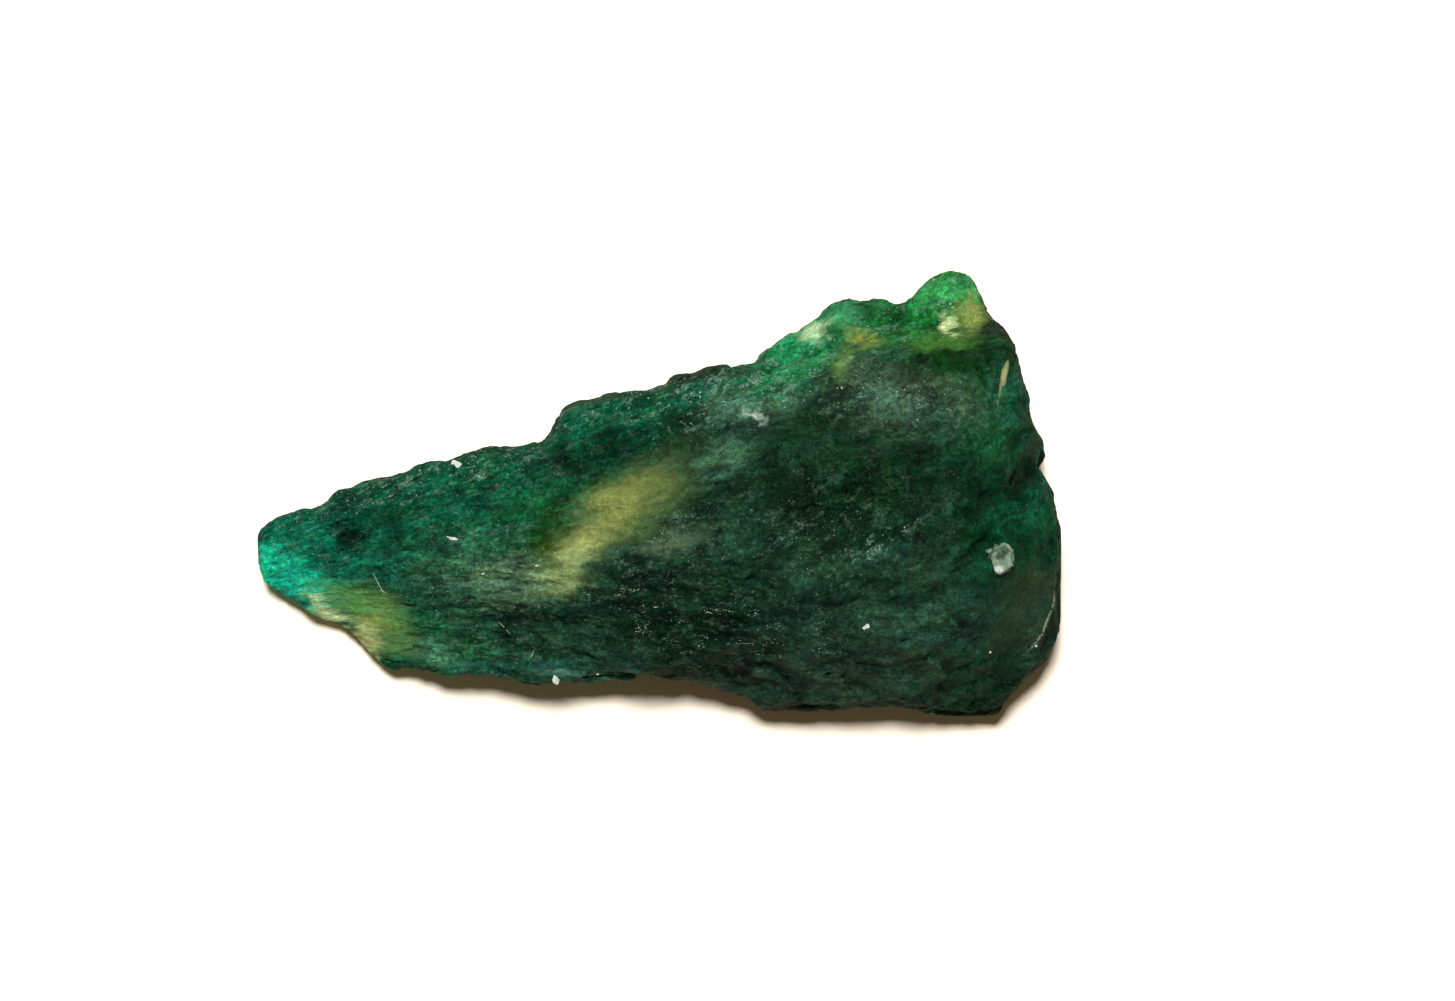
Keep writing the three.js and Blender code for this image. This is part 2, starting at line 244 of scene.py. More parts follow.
def stretched(noise_wire):
    """Noise spread over 0 to 1."""
    return rising(noise_wire, NOISE_LOW, NOISE_HIGH)


print("noise is spread from", NOISE_LOW, "to", NOISE_HIGH)

# %% [markdown]
# ## Table
# The stone lies on a white matt board. A plain plane is enough, and it is only the stage. Its
# two near-white tones differ by a hair, as painted board does.

# %% Table
TABLE_SIZE = 6.0
TABLE_TONES = ((252, 239, 219), (254, 242, 224))
TABLE_PER_MM = 0.4
TABLE_DULL, TABLE_GLOSS = 0.9, 0.1

table_finish, table_shader = new_finish("white_table")
board = mixed(tone(*TABLE_TONES[0]), tone(*TABLE_TONES[1]), clouds(in_mm(), TABLE_PER_MM))
board.into(table_shader, "Base Color")
table_shader.inputs["Roughness"].default_value = TABLE_DULL
table_shader.inputs["Specular IOR Level"].default_value = TABLE_GLOSS

bpy.ops.object.select_all(action="DESELECT")
bpy.ops.mesh.primitive_plane_add(size=TABLE_SIZE, location=(0, 0, 0))
table = bpy.context.object
table.name = "table"
wear(table, table_finish)
print("table, m:", TABLE_SIZE)

# %% [markdown]
# ## The stone's skin
# The plain solid has large triangles. A copy of it is merged at its seams and covered with an
# even skin of small squares by a voxel remesh, fine enough to carry ridges a fifth of a
# millimetre wide. The remesh copies the flat triangles too, so a short smoothing follows.

# %% A fine skin over a copy of the plain stone
SEAM = 0.001 * MM
SKIN_CELL = 0.15 * MM
SKIN_SMOOTHING = 3


def choose(piece):
    """Only this piece is selected, and it is the active one."""
    bpy.ops.object.select_all(action="DESELECT")
    piece.select_set(True)
    bpy.context.view_layer.objects.active = piece


def edit_all(piece):
    """The piece is in edit mode and all of it is selected."""
    choose(piece)
    bpy.ops.object.mode_set(mode="EDIT")
    bpy.ops.mesh.select_all(action="SELECT")


def apply_modifier(piece, kind, **settings):
    """A modifier is added with these settings and applied at once."""
    choose(piece)
    made = piece.modifiers.new(kind.lower(), kind)
    for name, value in settings.items():
        setattr(made, name, value)
    bpy.ops.object.modifier_apply(modifier=made.name)


stone = bpy.data.objects.new("rough_splinter", frame["nodes"][SOLID].data.copy())
bpy.context.scene.collection.objects.link(stone)
edit_all(stone)
bpy.ops.mesh.remove_doubles(threshold=SEAM)
bpy.ops.object.mode_set(mode="OBJECT")
apply_modifier(stone, "REMESH", mode="VOXEL", voxel_size=SKIN_CELL)
apply_modifier(stone, "SMOOTH", iterations=SKIN_SMOOTHING)
print("skin squares:", len(stone.data.polygons))

# %% [markdown]
# ## A rounder knob
# The knob at the upper right end is worn round on the real stone, while on the plain solid it
# carries a straight ridge. Smoothing the whole stone would cost it its corners. So only the
# knob's vertices are chosen, by their place, and smoothed many times over. Smoothing shrinks a
# round shape, so Shrink/Fatten swells it again afterwards.

# %% Rounding the knob
KNOB_MIDDLE, KNOB_HALF = (14.4, 10.3), (2.3, 1.8)
KNOB_SMOOTHING, KNOB_FACTOR, KNOB_SWELL = 12, 0.5, 0.11 * MM

edit_all(stone)
bpy.ops.mesh.select_mode(type="VERT")
bpy.ops.mesh.select_all(action="DESELECT")
bpy.ops.object.mode_set(mode="OBJECT")
for vertex in stone.data.vertices:
    east = (vertex.co.x / MM - KNOB_MIDDLE[0]) / KNOB_HALF[0]
    north = (vertex.co.y / MM - KNOB_MIDDLE[1]) / KNOB_HALF[1]
    vertex.select = math.hypot(east, north) < 1
chosen = sum(vertex.select for vertex in stone.data.vertices)
bpy.ops.object.mode_set(mode="EDIT")
bpy.ops.mesh.vertices_smooth(factor=KNOB_FACTOR, repeat=KNOB_SMOOTHING)
bpy.ops.transform.shrink_fatten(value=KNOB_SWELL)
bpy.ops.object.mode_set(mode="OBJECT")
print("vertices of the knob:", chosen)

# %% [markdown]
# ## A fan of fibres
# The mineral grew as a fan of fibres that spreads from a point beyond the thin end, and it broke
# along them. Sculpting by hand would give such a surface, but then every ridge has to be drawn.
# A rule in code moves every vertex along its normal in one go, and is worked out in the fan's own
# terms: how far a point is from where the fan starts, and how far across the fan it lies.

# %% Places in the fan
FAN_START = (-31.3, -6.8)
FAN_REACH = 40.0


def soft_rise(value, start, end):
    """0 below start, 1 above end, and a soft rise between them, as rising() does in a shader."""
    share = min(max((value - start) / (end - start), 0.0), 1.0)
    return share * share * (3 - 2 * share)


def in_fan(point):
    """Distance from the fan's start, place across the fan, and height, in mm."""
    east, north = point.x - FAN_START[0], point.y - FAN_START[1]
    return math.hypot(east, north), math.atan2(north, east) * FAN_REACH, point.z


print("the stone's middle in the fan, mm:", [round(part, 1) for part in in_fan(Vector((0, 0, 4)))])

# %% [markdown]
# ## Crumpled crests, chips and crumbs
# The broken surface is crumpled like paper, with flat little facets and sugary crumbs on it.
# Ridged noise gives the crests. The facets come from a Voronoi pattern, in which every cell gets
# its own tilt and its own level. All are drawn out along the fan. The warp comes from
# noise_vector, which Blender seeds from the clock, so a seed is set first. Without it every run
# would make a slightly different stone.

# %% Fine relief
CRUMPLE = {"along": 0.55, "across": 1.05, "warp": 0.5, "warp_per_mm": 0.8, "height": 0.09}
CRUMPLE_NOISE = {"H": 1.0, "lacunarity": 2.1, "octaves": 4, "offset": 1.0, "gain": 2.0}
CHIP = {"along": 0.6, "across": 1.15, "tilt": 0.20, "step": 0.10, "shuffle": 9.0}
CRUMB = {"per_mm": 3.0, "height": 0.06}
WARP_SEED = 7
noise.seed_set(WARP_SEED)


def chip(spot):
    """Flat facets: each cell of a Voronoi pattern has its own tilt and its own level."""
    middle = noise.voronoi(spot)[1][0]
    lean = noise.cell_vector(middle * CHIP["shuffle"])
    return CHIP["tilt"] * (spot - middle).dot(lean) + CHIP["step"] * lean.z


def fine_relief(point):
    """Crumpled crests, facets and crumbs, in mm."""
    along, across, up = in_fan(point)
    warp = noise.noise_vector(point * CRUMPLE["warp_per_mm"]) * CRUMPLE["warp"]
    crumpled = Vector((along * CRUMPLE["along"], across * CRUMPLE["across"], up)) + warp
    ridges = noise.ridged_multi_fractal(crumpled, *CRUMPLE_NOISE.values())
    facets = chip(Vector((along * CHIP["along"], across * CHIP["across"], up)) + warp)
    crumbs = noise.noise(point * CRUMB["per_mm"])
    return CRUMPLE["height"] * ridges + facets + CRUMB["height"] * crumbs


print("height of the crumpled crests, mm:", CRUMPLE["height"])

# %% [markdown]
# ## Swells and broken walls
# Wide swells keep the top from looking flat. The side walls broke in beds, which step back a
# little each time, and small bites are missing along the edges. A few places bulge out further.
# A sawtooth that rises slowly and drops quickly makes the beds.

# %% Wide relief
SWELL = {"along": 0.22, "across": 0.75, "up": 0.8, "height": 0.11}
SWELL_NOISE = {"H": 0.9, "lacunarity": 2.0, "octaves": 4}
BED = {"per_mm": 0.75, "lean": 0.05, "wander": 1.1, "drop_at": 0.8, "middle": 0.4, "height": 0.06}
BED_WANDER = (0.11, 0.2, 0.35)
NIBBLE = {"per_mm": 1.1, "height": 0.16}
WALL_FROM, WALL_TO = 0.55, 0.25
WALL_SWELL = 0.11
# name, middle and half sizes in mm, and how far the skin swells out
BULGES = (
    ("lobe_side", (19.4, -3.2, 5.5), (1.6, 1.5, 4.5), 0.06),
    ("lobe_foot", (18.6, -7.2, 5.0), (1.4, 1.2, 4.0), 0.20),
    ("knob_shoulder", (12.9, 9.9, 6.5), (0.9, 0.8, 3.5), 0.20),
    ("shelf_saddle", (11.9, 8.9, 6.0), (0.8, 0.6, 3.0), 0.35),
    ("low_rim", (-17.6, -5.9, 3.0), (1.8, 0.8, 3.0), 0.18),
)
BULGE_FULL, BULGE_GONE = 0.2, 1.3


def sawtooth(turns, drop_at):
    """Rises slowly and drops quickly, once in each turn."""
    share = turns - math.floor(turns)
    return share if share < drop_at else drop_at * (1 - soft_rise(share, drop_at, 1.0))


def wall_share(up_part):
    """1 on a steep wall, 0 on a flat place, from the upward part of the normal."""
    return 1 - soft_rise(abs(up_part), WALL_TO, WALL_FROM)


def bulge(point):
    """How far the stone swells at this point, in mm."""
    swelling = 0.0
    for name, middle, half, height in BULGES:
        away = Vector([(p - m) / h for p, m, h in zip(point, middle, half)]).length
        swelling += height * (1 - soft_rise(away, BULGE_FULL, BULGE_GONE))
    return swelling


def wide_relief(point, wall, smooth):
    """Swells, and on the walls broken beds, bites and bulges, in mm."""
    along, across, up = in_fan(point)
    spot = Vector((along * SWELL["along"], across * SWELL["across"], up * SWELL["up"]))
    swell = noise.fractal(spot, *SWELL_NOISE.values())
    slow = Vector([part * per_mm for part, per_mm in zip((along, across, up), BED_WANDER)])
    wander = noise.noise(slow)
    turns = up * BED["per_mm"] + BED["wander"] * wander + BED["lean"] * along
    bed = sawtooth(turns, BED["drop_at"]) - BED["middle"]
    broken = BED["height"] * bed + NIBBLE["height"] * noise.noise(point * NIBBLE["per_mm"])
    return SWELL["height"] * swell + (broken * (1 - smooth) + WALL_SWELL + bulge(point)) * wall


print("bulges:", [name for name, *rest in BULGES])

# %% [markdown]
# ## Valleys
# Sharp valleys separate the right lobe from the body and run beside the cream splinter. Each is a
# straight line with a rounded cut around it, deepest on the line. An exponential of the squared
# distance gives a cut that has no edge where it ends.

# %% Valleys
# name, start and end in mm, depth, half width
CREASES = (
    ("beside_lobe", (19.3, 1.7), (16.2, -0.4), 0.26, 0.55),
    ("left_of_splinter", (16.75, 6.5), (16.4, 4.2), 0.24, 0.14),
    ("right_of_splinter", (17.5, 6.9), (17.15, 5.1), 0.20, 0.12),
    ("dark_pit", (-15.4, -2.1), (-15.0, -2.25), 0.22, 0.55),
    ("under_crest", (5.4, 6.0), (5.7, 5.1), 0.15, 0.10),
    ("shelf_foot", (6.4, 5.6), (13.0, 6.6), 0.16, 0.25),
)
CREASE_ENDS = 3.0
FAR_AWAY = 1000.0


def line_distance(point, line):
    """How far a point lies from a line of straight stretches, in mm."""
    nearest = FAR_AWAY
    for start, end in zip(line, line[1:]):
        reach = Vector(end) - Vector(start)
        share = min(max((point.xy - Vector(start)).dot(reach) / reach.length_squared, 0.0), 1.0)
        nearest = min(nearest, (point.xy - Vector(start) - reach * share).length)
    return nearest


def crease(point):
    """How deep the sharp valleys cut in at this point, in mm."""
    deep = 0.0
    for name, start, end, depth, half_width in CREASES:
        away = line_distance(point, (start, end)) / half_width
        if away < CREASE_ENDS:
            deep = max(deep, depth * math.exp(-away * away))
    return deep


print("valleys:", [name for name, *rest in CREASES])

# %% [markdown]
# ## Overhanging rim
# The stone is widest some way above the table, and the height of that rim decides how long its
# shadow is. The widest part is lifted or lowered here and there. Only heights change, so the
# outline from above stays as it is, and the face that rests on the table stays flat.

# %% Rim heights
# line of the rim in mm, and how far the rim is lifted there
RIM_LINES = (
    (((-19.8, -3.2), (-18.0, -4.6), (-16.4, -5.9)), -0.45),
    (((-10.6, -8.9), (-8.0, -9.0), (-1.0, -9.1)), 1.1),
    (((4.5, -9.9), (8.0, -10.6), (12.0, -10.6), (15.0, -11.0)), -1.1),
)
RIM_REACH = (0.4, 3.0)
RIM_HEIGHTS = (0.3, 1.6)


def rim_lift(point):
    """How far the rim is lifted at this point, in mm."""
    lifted = 0.0
    for line, lift in RIM_LINES:
        lifted += lift * (1 - soft_rise(line_distance(point, line), *RIM_REACH))
    return lifted * soft_rise(point.z, *RIM_HEIGHTS)


print("lift of each stretch of rim, mm:", [lift for line, lift in RIM_LINES])

# %% [markdown]
# ## Smooth places, and the limits
# The right lobe, the knob, the thin end and the pale corner broke smooth and glassy, so the
# relief fades there. The stone also keeps within the box of the plain solid. Clipping would leave
# flats, so whatever comes near a side of the box is pushed back softly.

# %% Smooth places and limits
# middle and half sizes in mm
SMOOTH_PLACES = (
    ((17.7, -5.8), (2.0, 2.8)),
    ((14.3, 10.2), (1.9, 1.5)),
    ((-15.5, -6.3), (3.6, 1.5)),
    ((-17.5, -3.6), (2.0, 1.6)),
)
SMOOTHNESS = 0.75
SMOOTH_FULL, SMOOTH_GONE = 0.6, 1.3
SOFT_BAND = 0.06


def smooth_share(point):
    """How much of the relief is gone at this point."""
    away = [
        math.hypot((point.x - at[0]) / half[0], (point.y - at[1]) / half[1])
        for at, half in SMOOTH_PLACES
    ]
    return SMOOTHNESS * (1 - soft_rise(min(away), SMOOTH_FULL, SMOOTH_GONE))


def held_inside(spots, low, high):
    """Pushes spots back softly where they come near the sides of the box."""
    band = SOFT_BAND * MM
    for over, way in ((spots - (high - band), -1), (low + band - spots, 1)):
        over = np.maximum(over, 0.0)
        spots = spots + way * (over - band * (1 - np.exp(-over / band)))
    return spots


print("smooth places:", len(SMOOTH_PLACES))

# %% [markdown]
# ## Moving the skin
# Now every vertex moves along its normal by the fine and the wide relief, less the valleys. On
# the walls the fine relief is weaker, and near the resting face there is none. How far a place is
# raised is also kept on the skin as an attribute, so the finish can paint light on the crests and
# shade in the valleys.

# %% Relief of the skin
WALL_CALM = 0.55
RESTING_HEIGHT = 0.5
VALLEY_FACES_UP = 0.2

count = len(stone.data.vertices)
places = np.zeros(count * 3, np.float32)
normals = np.zeros(count * 3, np.float32)
stone.data.vertices.foreach_get("co", places)
stone.data.vertices.foreach_get("normal", normals)
places, normals = places.reshape(-1, 3) / MM, normals.reshape(-1, 3)
points = [Vector(place) for place in places]
up_parts = normals[:, 2]

walls = np.array([wall_share(up_part) for up_part in up_parts])
smooth = np.array([smooth_share(point) for point in points])
fine = np.array([fine_relief(point) for point in points])
fine = (fine - fine.mean()) * (1 - WALL_CALM * walls) * (1 - smooth)
wide = np.array([wide_relief(*each) for each in zip(points, walls, smooth)])
sides = list(zip(points, up_parts))
cut = np.array([crease(point) if up_part > VALLEY_FACES_UP else 0.0 for point, up_part in sides])
free = [soft_rise(point.z, 0.0, RESTING_HEIGHT) if up_part < 0 else 1.0 for point, up_part in sides]
moves = (fine + wide - cut) * np.array(free)
spread, largest = float(fine.std()), float(fine.max())
print("fine relief, mm: spread", round(spread, 3), "largest", round(largest, 2))
print("moves, mm:", round(float(moves.min()), 2), "to", round(float(moves.max()), 2))

# %% The skin takes its new shape
moved = places + normals * moves[:, None]
moved[:, 2] += [rim_lift(point) for point in points]
moved = held_inside(moved * MM, np.array(low_corner), np.array(high_corner))
stone.data.vertices.foreach_set("co", moved.astype(np.float32).ravel())
raised = stone.data.attributes.new("raised", "FLOAT", "POINT")
raised.data.foreach_set("value", ((fine - cut) / fine.std()).astype(np.float32))
stone.data.update()
choose(stone)
bpy.ops.object.shade_smooth()
print("stone, mm:", [round(float(side) / MM, 2) for side in np.ptp(moved, axis=0)])

# %% [markdown]
# ## Colours of the stone: frayed places
# The colour comes from inside: light enters the cloudy mineral and leaves it green. Zones of teal,
# emerald, straw yellow and grey run through it, with torn edges. Painting them would tie them to
# one side of the stone. Instead each zone is an egg-shaped region in space, and the places it is
# measured from are shifted by noise along the fibres first, which frays every edge.

# %% Frayed places
stone_finish, stone_shader = new_finish("cloudy_green_stone")
place = in_mm()
offset = place - (*FAN_START, 0.0)
east, north, up = (Wire.node("SeparateXYZ", {}, {0: offset}, output=axis) for axis in range(3))
flat_offset = Wire.node("CombineXYZ", {}, {0: east, 1: north})
from_start = Wire.node("VectorMath", {"operation": "LENGTH"}, {0: flat_offset}, output="Value")
angle = Wire.node("Math", {"operation": "ARCTAN2"}, {0: north, 1: east})
fan = Wire.node("CombineXYZ", {}, {0: from_start, 1: angle * FAN_REACH, 2: up})


def shift_noise(vector, scale, detail=2.0):
    """Noise as a vector around zero, to shift places with."""
    values = {"Vector": vector, "Scale": scale, "Detail": detail}
    return Wire.node("TexNoise", {}, values, output="Color") - 0.5


# stretch along and across the fan, detail, and how far places shift in mm
FRAY_WIDE = ((0.18, 0.42, 0.42), 2.0, 2.2)
FRAY_FINE = ((0.8, 1.7, 1.7), 3.0, 1.3)
TEAR_PER_MM, TEAR_SHIFT = 3.0, 0.6
frayed = place
for stretch, detail, shift in (FRAY_WIDE, FRAY_FINE):
    frayed = frayed + shift_noise(fan * stretch, 1.0, detail) * shift
torn = frayed + shift_noise(frayed, TEAR_PER_MM, detail=3) * TEAR_SHIFT
print("edges frayed by up to, mm:", (FRAY_WIDE[2] + FRAY_FINE[2]) / 2)

# %% [markdown]
# ## Zones in the green body
# The mineral is teal in the thin end, emerald on the upper shelf, nearly black green in the middle
# and olive in the right lobe. A few zones are painted light and shade: a glow in the thin end,
# shade along a step below the upper band, shade in the groove beside the right lobe and on the
# steep side of that lobe. A Mapping node turns each egg-shaped region into a ball around zero, so
# the length of the mapped place says how far inside it is. Each zone is laid over the ones before
# it, as thin glazes of paint are.

# %% Egg-shaped zones
LAMP_GAIN = 1.5  # the lamp lifts every colour by about this much
ZONE_DEPTH = 30.0  # the zones run right through the stone
ZONE_HEIGHT = 3.0


def egg_distance(middle, half, turn, edge):
    """0 in the middle of an egg-shaped region, 1 on its edge, more outside."""
    values = {
        "Vector": edge,
        "Location": (*middle, ZONE_HEIGHT),
        "Rotation": (0, 0, math.radians(turn)),
        "Scale": (*half, ZONE_DEPTH),
    }
    inside = Wire.node("Mapping", {"vector_type": "TEXTURE"}, values)
    return Wire.node("VectorMath", {"operation": "LENGTH"}, {0: inside}, output="Value")


def egg(middle, half, turn, softness, edge=frayed):
    """1 inside an egg-shaped region, 0 outside, and frayed between."""
    return 1 - rising(egg_distance(middle, half, turn, edge), 1 - softness, 1 + softness)


def paint(red, green, blue):
    """A picked colour as the stone must be coloured to look so under this lamp."""
    return tuple(part / LAMP_GAIN for part in tone(red, green, blue))


def laid_over(below, zones, edge):
    """Each zone's colour over the ones before it, and how much of the place the zones cover."""
    cover = 0.0
    for name, middle, half, turn, softness, strength, shade in zones:
        share = egg(middle, half, turn, softness, edge) * strength
        below = mixed(below, paint(*shade), share)
        cover = Wire.node("Math", {"operation": "MAXIMUM"}, {0: cover, 1: share})
    return below, cover


print("a zone reaches through, mm:", 2 * ZONE_DEPTH)

# %% Body colour
PATCH_STRETCH = (0.22, 0.7, 0.7)
PATCH_LIMITS = (0.35, 0.65)
DARK_PATCH, PALE_PATCH = (16, 44, 27), (36, 70, 52)
# name, middle in mm, half length and half width in mm, turn in degrees, softness, strength, tone
BODY_ZONES = (
    ("body_left", (-11.3, -2.3), (7.6, 3.8), 8, 0.7, 0.95, (14, 84, 58)),
    ("upper_left", (-10.3, 0.4), (6.6, 1.6), 17, 0.6, 0.8, (2, 72, 46)),
    ("step_block", (-2.6, 3.4), (3.8, 1.5), 8, 0.6, 0.9, (0, 84, 55)),
    ("upper_band", (2.0, 4.4), (3.8, 1.5), 14, 0.6, 0.7, (14, 74, 52)),
    # painted shade: the dark band along the step below the upper band
    ("step_shade_band", (-0.4, 2.5), (4.6, 0.9), 12, 0.6, 0.9, (0, 42, 24)),
    ("right_upper", (16.1, 3.1), (2.4, 3.2), 0, 0.7, 0.8, (14, 78, 46)),
    ("right_lobe", (17.3, -1.6), (3.0, 3.4), 0, 0.6, 0.95, (0, 58, 32)),
    ("lobe_teal", (16.9, -0.3), (1.6, 0.9), 30, 0.7, 0.7, (0, 74, 50)),
    ("lobe_olive", (18.3, -5.8), (1.8, 2.4), -25, 0.6, 0.8, (40, 62, 42)),
    ("lower_right", (15.6, -9.3), (2.8, 1.8), 0, 0.6, 0.9, (2, 42, 18)),
    ("low_middle", (9.5, -8.5), (6.0, 2.6), 0, 0.7, 0.7, (34, 60, 46)),
    ("dark_middle", (9.0, 0.6), (6.6, 3.2), 5, 0.8, 0.9, (6, 38, 16)),
    ("dark_sparkling", (1.6, -5.9), (5.6, 2.8), -12, 0.7, 0.85, (2, 26, 13)),
    ("dark_low_left", (-5.9, -6.2), (1.7, 1.8), 0, 0.8, 0.8, (14, 44, 30)),
    ("haze_middle", (3.1, -2.4), (4.6, 2.0), 10, 0.8, 0.6, (26, 58, 40)),
    ("grey_left", (-9.0, -4.0), (2.8, 1.6), 10, 0.8, 0.6, (54, 94, 66)),
    ("haze_left", (-6.3, -4.0), (2.1, 1.1), 15, 0.9, 0.9, (108, 138, 98)),
    ("low_left", (-11.7, -7.4), (3.4, 1.3), -12, 0.7, 0.75, (26, 94, 56)),
    ("low_left_blue", (-11.3, -7.9), (1.3, 0.5), -10, 0.9, 0.7, (70, 128, 104)),
    ("blue_edge", (-5.2, -9.1), (4.6, 0.8), -2, 0.7, 0.8, (24, 74, 59)),
    ("thin_end", (-18.2, -3.1), (3.9, 2.7), -12, 0.5, 0.95, (0, 100, 76)),
    # painted light: a bright glow where lamp light shines through the thin end
    ("thin_end_painted_glow", (-18.6, -4.1), (2.1, 1.0), -28, 0.7, 0.95, (24, 204, 158)),
    ("dark_pit", (-15.2, -2.2), (0.95, 0.75), 0, 0.45, 1.0, (0, 46, 31)),
    ("green_above_band", (-4.9, -0.3), (3.0, 0.8), 20, 0.7, 0.8, (10, 86, 40)),
    ("pale_cloud", (3.3, 2.0), (1.1, 0.6), 25, 0.9, 0.7, (84, 136, 106)),
    ("crest_cloud", (4.4, 4.2), (1.9, 0.9), 20, 0.8, 0.55, (84, 124, 102)),
    ("shelf", (7.0, 7.4), (2.8, 2.0), 30, 0.6, 0.9, (18, 124, 76)),
    ("shelf_right", (10.8, 8.2), (3.4, 1.6), 0, 0.6, 0.9, (24, 104, 50)),
    ("shelf_dark", (12.9, 8.3), (0.9, 0.8), 0, 0.8, 0.8, (12, 92, 34)),
    ("knob", (14.4, 10.0), (1.7, 1.5), 0, 0.5, 0.95, (52, 152, 80)),
    ("grey_crust", (11.6, 4.9), (3.6, 1.5), -8, 0.8, 0.7, (66, 92, 70)),
    ("below_knob", (14.7, 6.5), (2.2, 0.95), 5, 0.7, 0.98, (0, 50, 8)),
    ("groove_shade", (17.6, 0.6), (2.0, 0.5), 33, 0.7, 0.9, (0, 40, 20)),
    ("lobe_top", (18.6, 0.0), (1.2, 0.7), 40, 0.8, 0.7, (10, 78, 54)),
    # painted shade on the steep side of the right lobe
    ("lobe_side_shade", (19.2, -2.6), (0.7, 1.0), 0, 0.7, 0.8, (2, 46, 26)),
)
patchiness = clouds(fan * PATCH_STRETCH, 1.0, detail=4)
colour = mixed(paint(*DARK_PATCH), paint(*PALE_PATCH), rising(patchiness, *PATCH_LIMITS))
colour = laid_over(colour, BODY_ZONES, frayed)[0]
print("zones in the green body:", len(BODY_ZONES))

# %% [markdown]
# ## Fibres, mottling and grain
# Close up, the green is fibrous, blotchy and grainy at every size. One noise would look the same
# everywhere, so several sizes are multiplied, each around one, and they leave the mean as it is.
# The fibres follow the fan on the left and lie slantwise in the right half, so both directions
# are worked out and one region chooses between them.

# %% Patterns of several sizes
SLANT = math.radians(35)
SLANT_REGION = ((11.5, -1.2), (7.0, 5.5), 20, 0.6)
SHAKE_PER_MM, SHAKE = 1.3, 0.6
BLOTCHES_PER_MM, BLOTCH_SHIFT = 0.5, 1.6
SPECKS_PER_MM, SPECK_SHAKE, GRAINS_PER_MM = 3.4, 0.3, 5.0
FIBRE_STRETCH, CRUMPLE_STRETCH = (0.5, 2.0, 2.0), (0.6, 1.1, 1.1)
MOTTLE = {"scale": 1.5, "squeeze": 1.5, "detail": 5, "roughness": 0.72}

shaken = shift_noise(place, SHAKE_PER_MM) * SHAKE
slanted = Wire.node("VectorRotate", {"rotation_type": "Z_AXIS"}, {"Vector": place, "Angle": -SLANT})
slant_share = egg(*SLANT_REGION)


def along_fibres(scale, squeeze, detail, roughness):
    """Noise drawn out along the fibres, which lie slantwise in the right half."""
    stretch = (scale, scale * squeeze, scale * squeeze)
    pair = [clouds(way * stretch + shaken, 1.0, detail, roughness) for way in (fan, slanted)]
    return pair[0] + (pair[1] - pair[0]) * slant_share


def crests(vector, detail, roughness=0.55):
    """Narrow crests as in crumpled paper: about 1 in the middle, near 1.8 on a crest."""
    values = {"Vector": vector, "Scale": 1.0, "Detail": detail, "Roughness": roughness}
    kind = {"noise_type": "RIDGED_MULTIFRACTAL"}
    return Wire.node("TexNoise", kind, {**values, "Offset": 1.0, "Gain": 2.0})


blotch_place = place + shift_noise(place, BLOTCHES_PER_MM) * BLOTCH_SHIFT
fibres = stretched(clouds(fan * FIBRE_STRETCH + shaken, 1.0, detail=3))
blotches = stretched(clouds(blotch_place, BLOTCHES_PER_MM, detail=4, roughness=0.6))
mottling = stretched(along_fibres(**MOTTLE))
specks = stretched(clouds(place + shaken * SPECK_SHAKE, SPECKS_PER_MM, detail=3, roughness=0.7))
grain = stretched(clouds(place, GRAINS_PER_MM, detail=3, roughness=0.85))
crumple = crests(fan * CRUMPLE_STRETCH + shaken, detail=5, roughness=0.65)
print("patterns: fibres, blotches, mottling, specks, grain, crumpled crests")

# %% Light and dark texture
FIBRE_DEPTH, BLOTCH_DEPTH, MOTTLE_DEPTH = 0.28, 1.0, 0.68
SPECK_DEPTH, GRAIN_DEPTH, RELIEF_SHADE_DEPTH = 0.76, 0.85, 0.10
CRUMPLE_LOW, CRUMPLE_DEPTH = 0.62, 0.28
# places that broke smooth and glassy show less texture
CALM_REGIONS = (((17.7, -5.8), (2.0, 2.8), -12, 0.7), ((-15.5, -6.2), (3.2, 1.1), -35, 0.7))
CALM = 0.6
GREENER, BLUER, HUE_STRETCH = (1.12, 1.02, 0.84), (0.80, 0.98, 1.14), (0.35, 0.7, 0.7)


def around_one(pattern, depth):
    """A pattern from 0 to 1 becomes a factor around 1."""
    return (1 - depth / 2) + pattern * depth


calm = egg(*CALM_REGIONS[0]) + egg(*CALM_REGIONS[1])
raised_here = Wire.node("Attribute", {"attribute_name": "raised"}, {}, output="Fac")
texture = around_one(fibres, FIBRE_DEPTH) * around_one(blotches, BLOTCH_DEPTH)
texture = texture * around_one(mottling, MOTTLE_DEPTH) * around_one(specks, SPECK_DEPTH)
# painted light on the raised crests and painted shade in the valleys, from the raised attribute
texture = texture * (CRUMPLE_LOW + CRUMPLE_DEPTH * crumple) * (1 + RELIEF_SHADE_DEPTH * raised_here)
texture = texture + (1 - texture) * calm * CALM
hue_noise = stretched(clouds(fan * HUE_STRETCH, 1.0, detail=4))
colour = colour * texture * around_one(grain, GRAIN_DEPTH)
colour = colour * mixed(GREENER, BLUER, hue_noise)
print("depth of mottling, specks and grain:", MOTTLE_DEPTH, SPECK_DEPTH, GRAIN_DEPTH)

# %% [markdown]
# ## Pale sugary haze
# Where the surface is bruised it is covered with tiny cracks, and these scatter the light, so it
# looks frosted. The haze gathers in granular clumps on the crest, along the upper edges and on the
# slanted ridge. Clumps of two sizes are broken up by fine dots, and regions say where they lie.

# %% Haze
HAZE_TONE = (130, 168, 144)
HAZE_EVERYWHERE = 0.10
HAZE_STRENGTH = 0.85
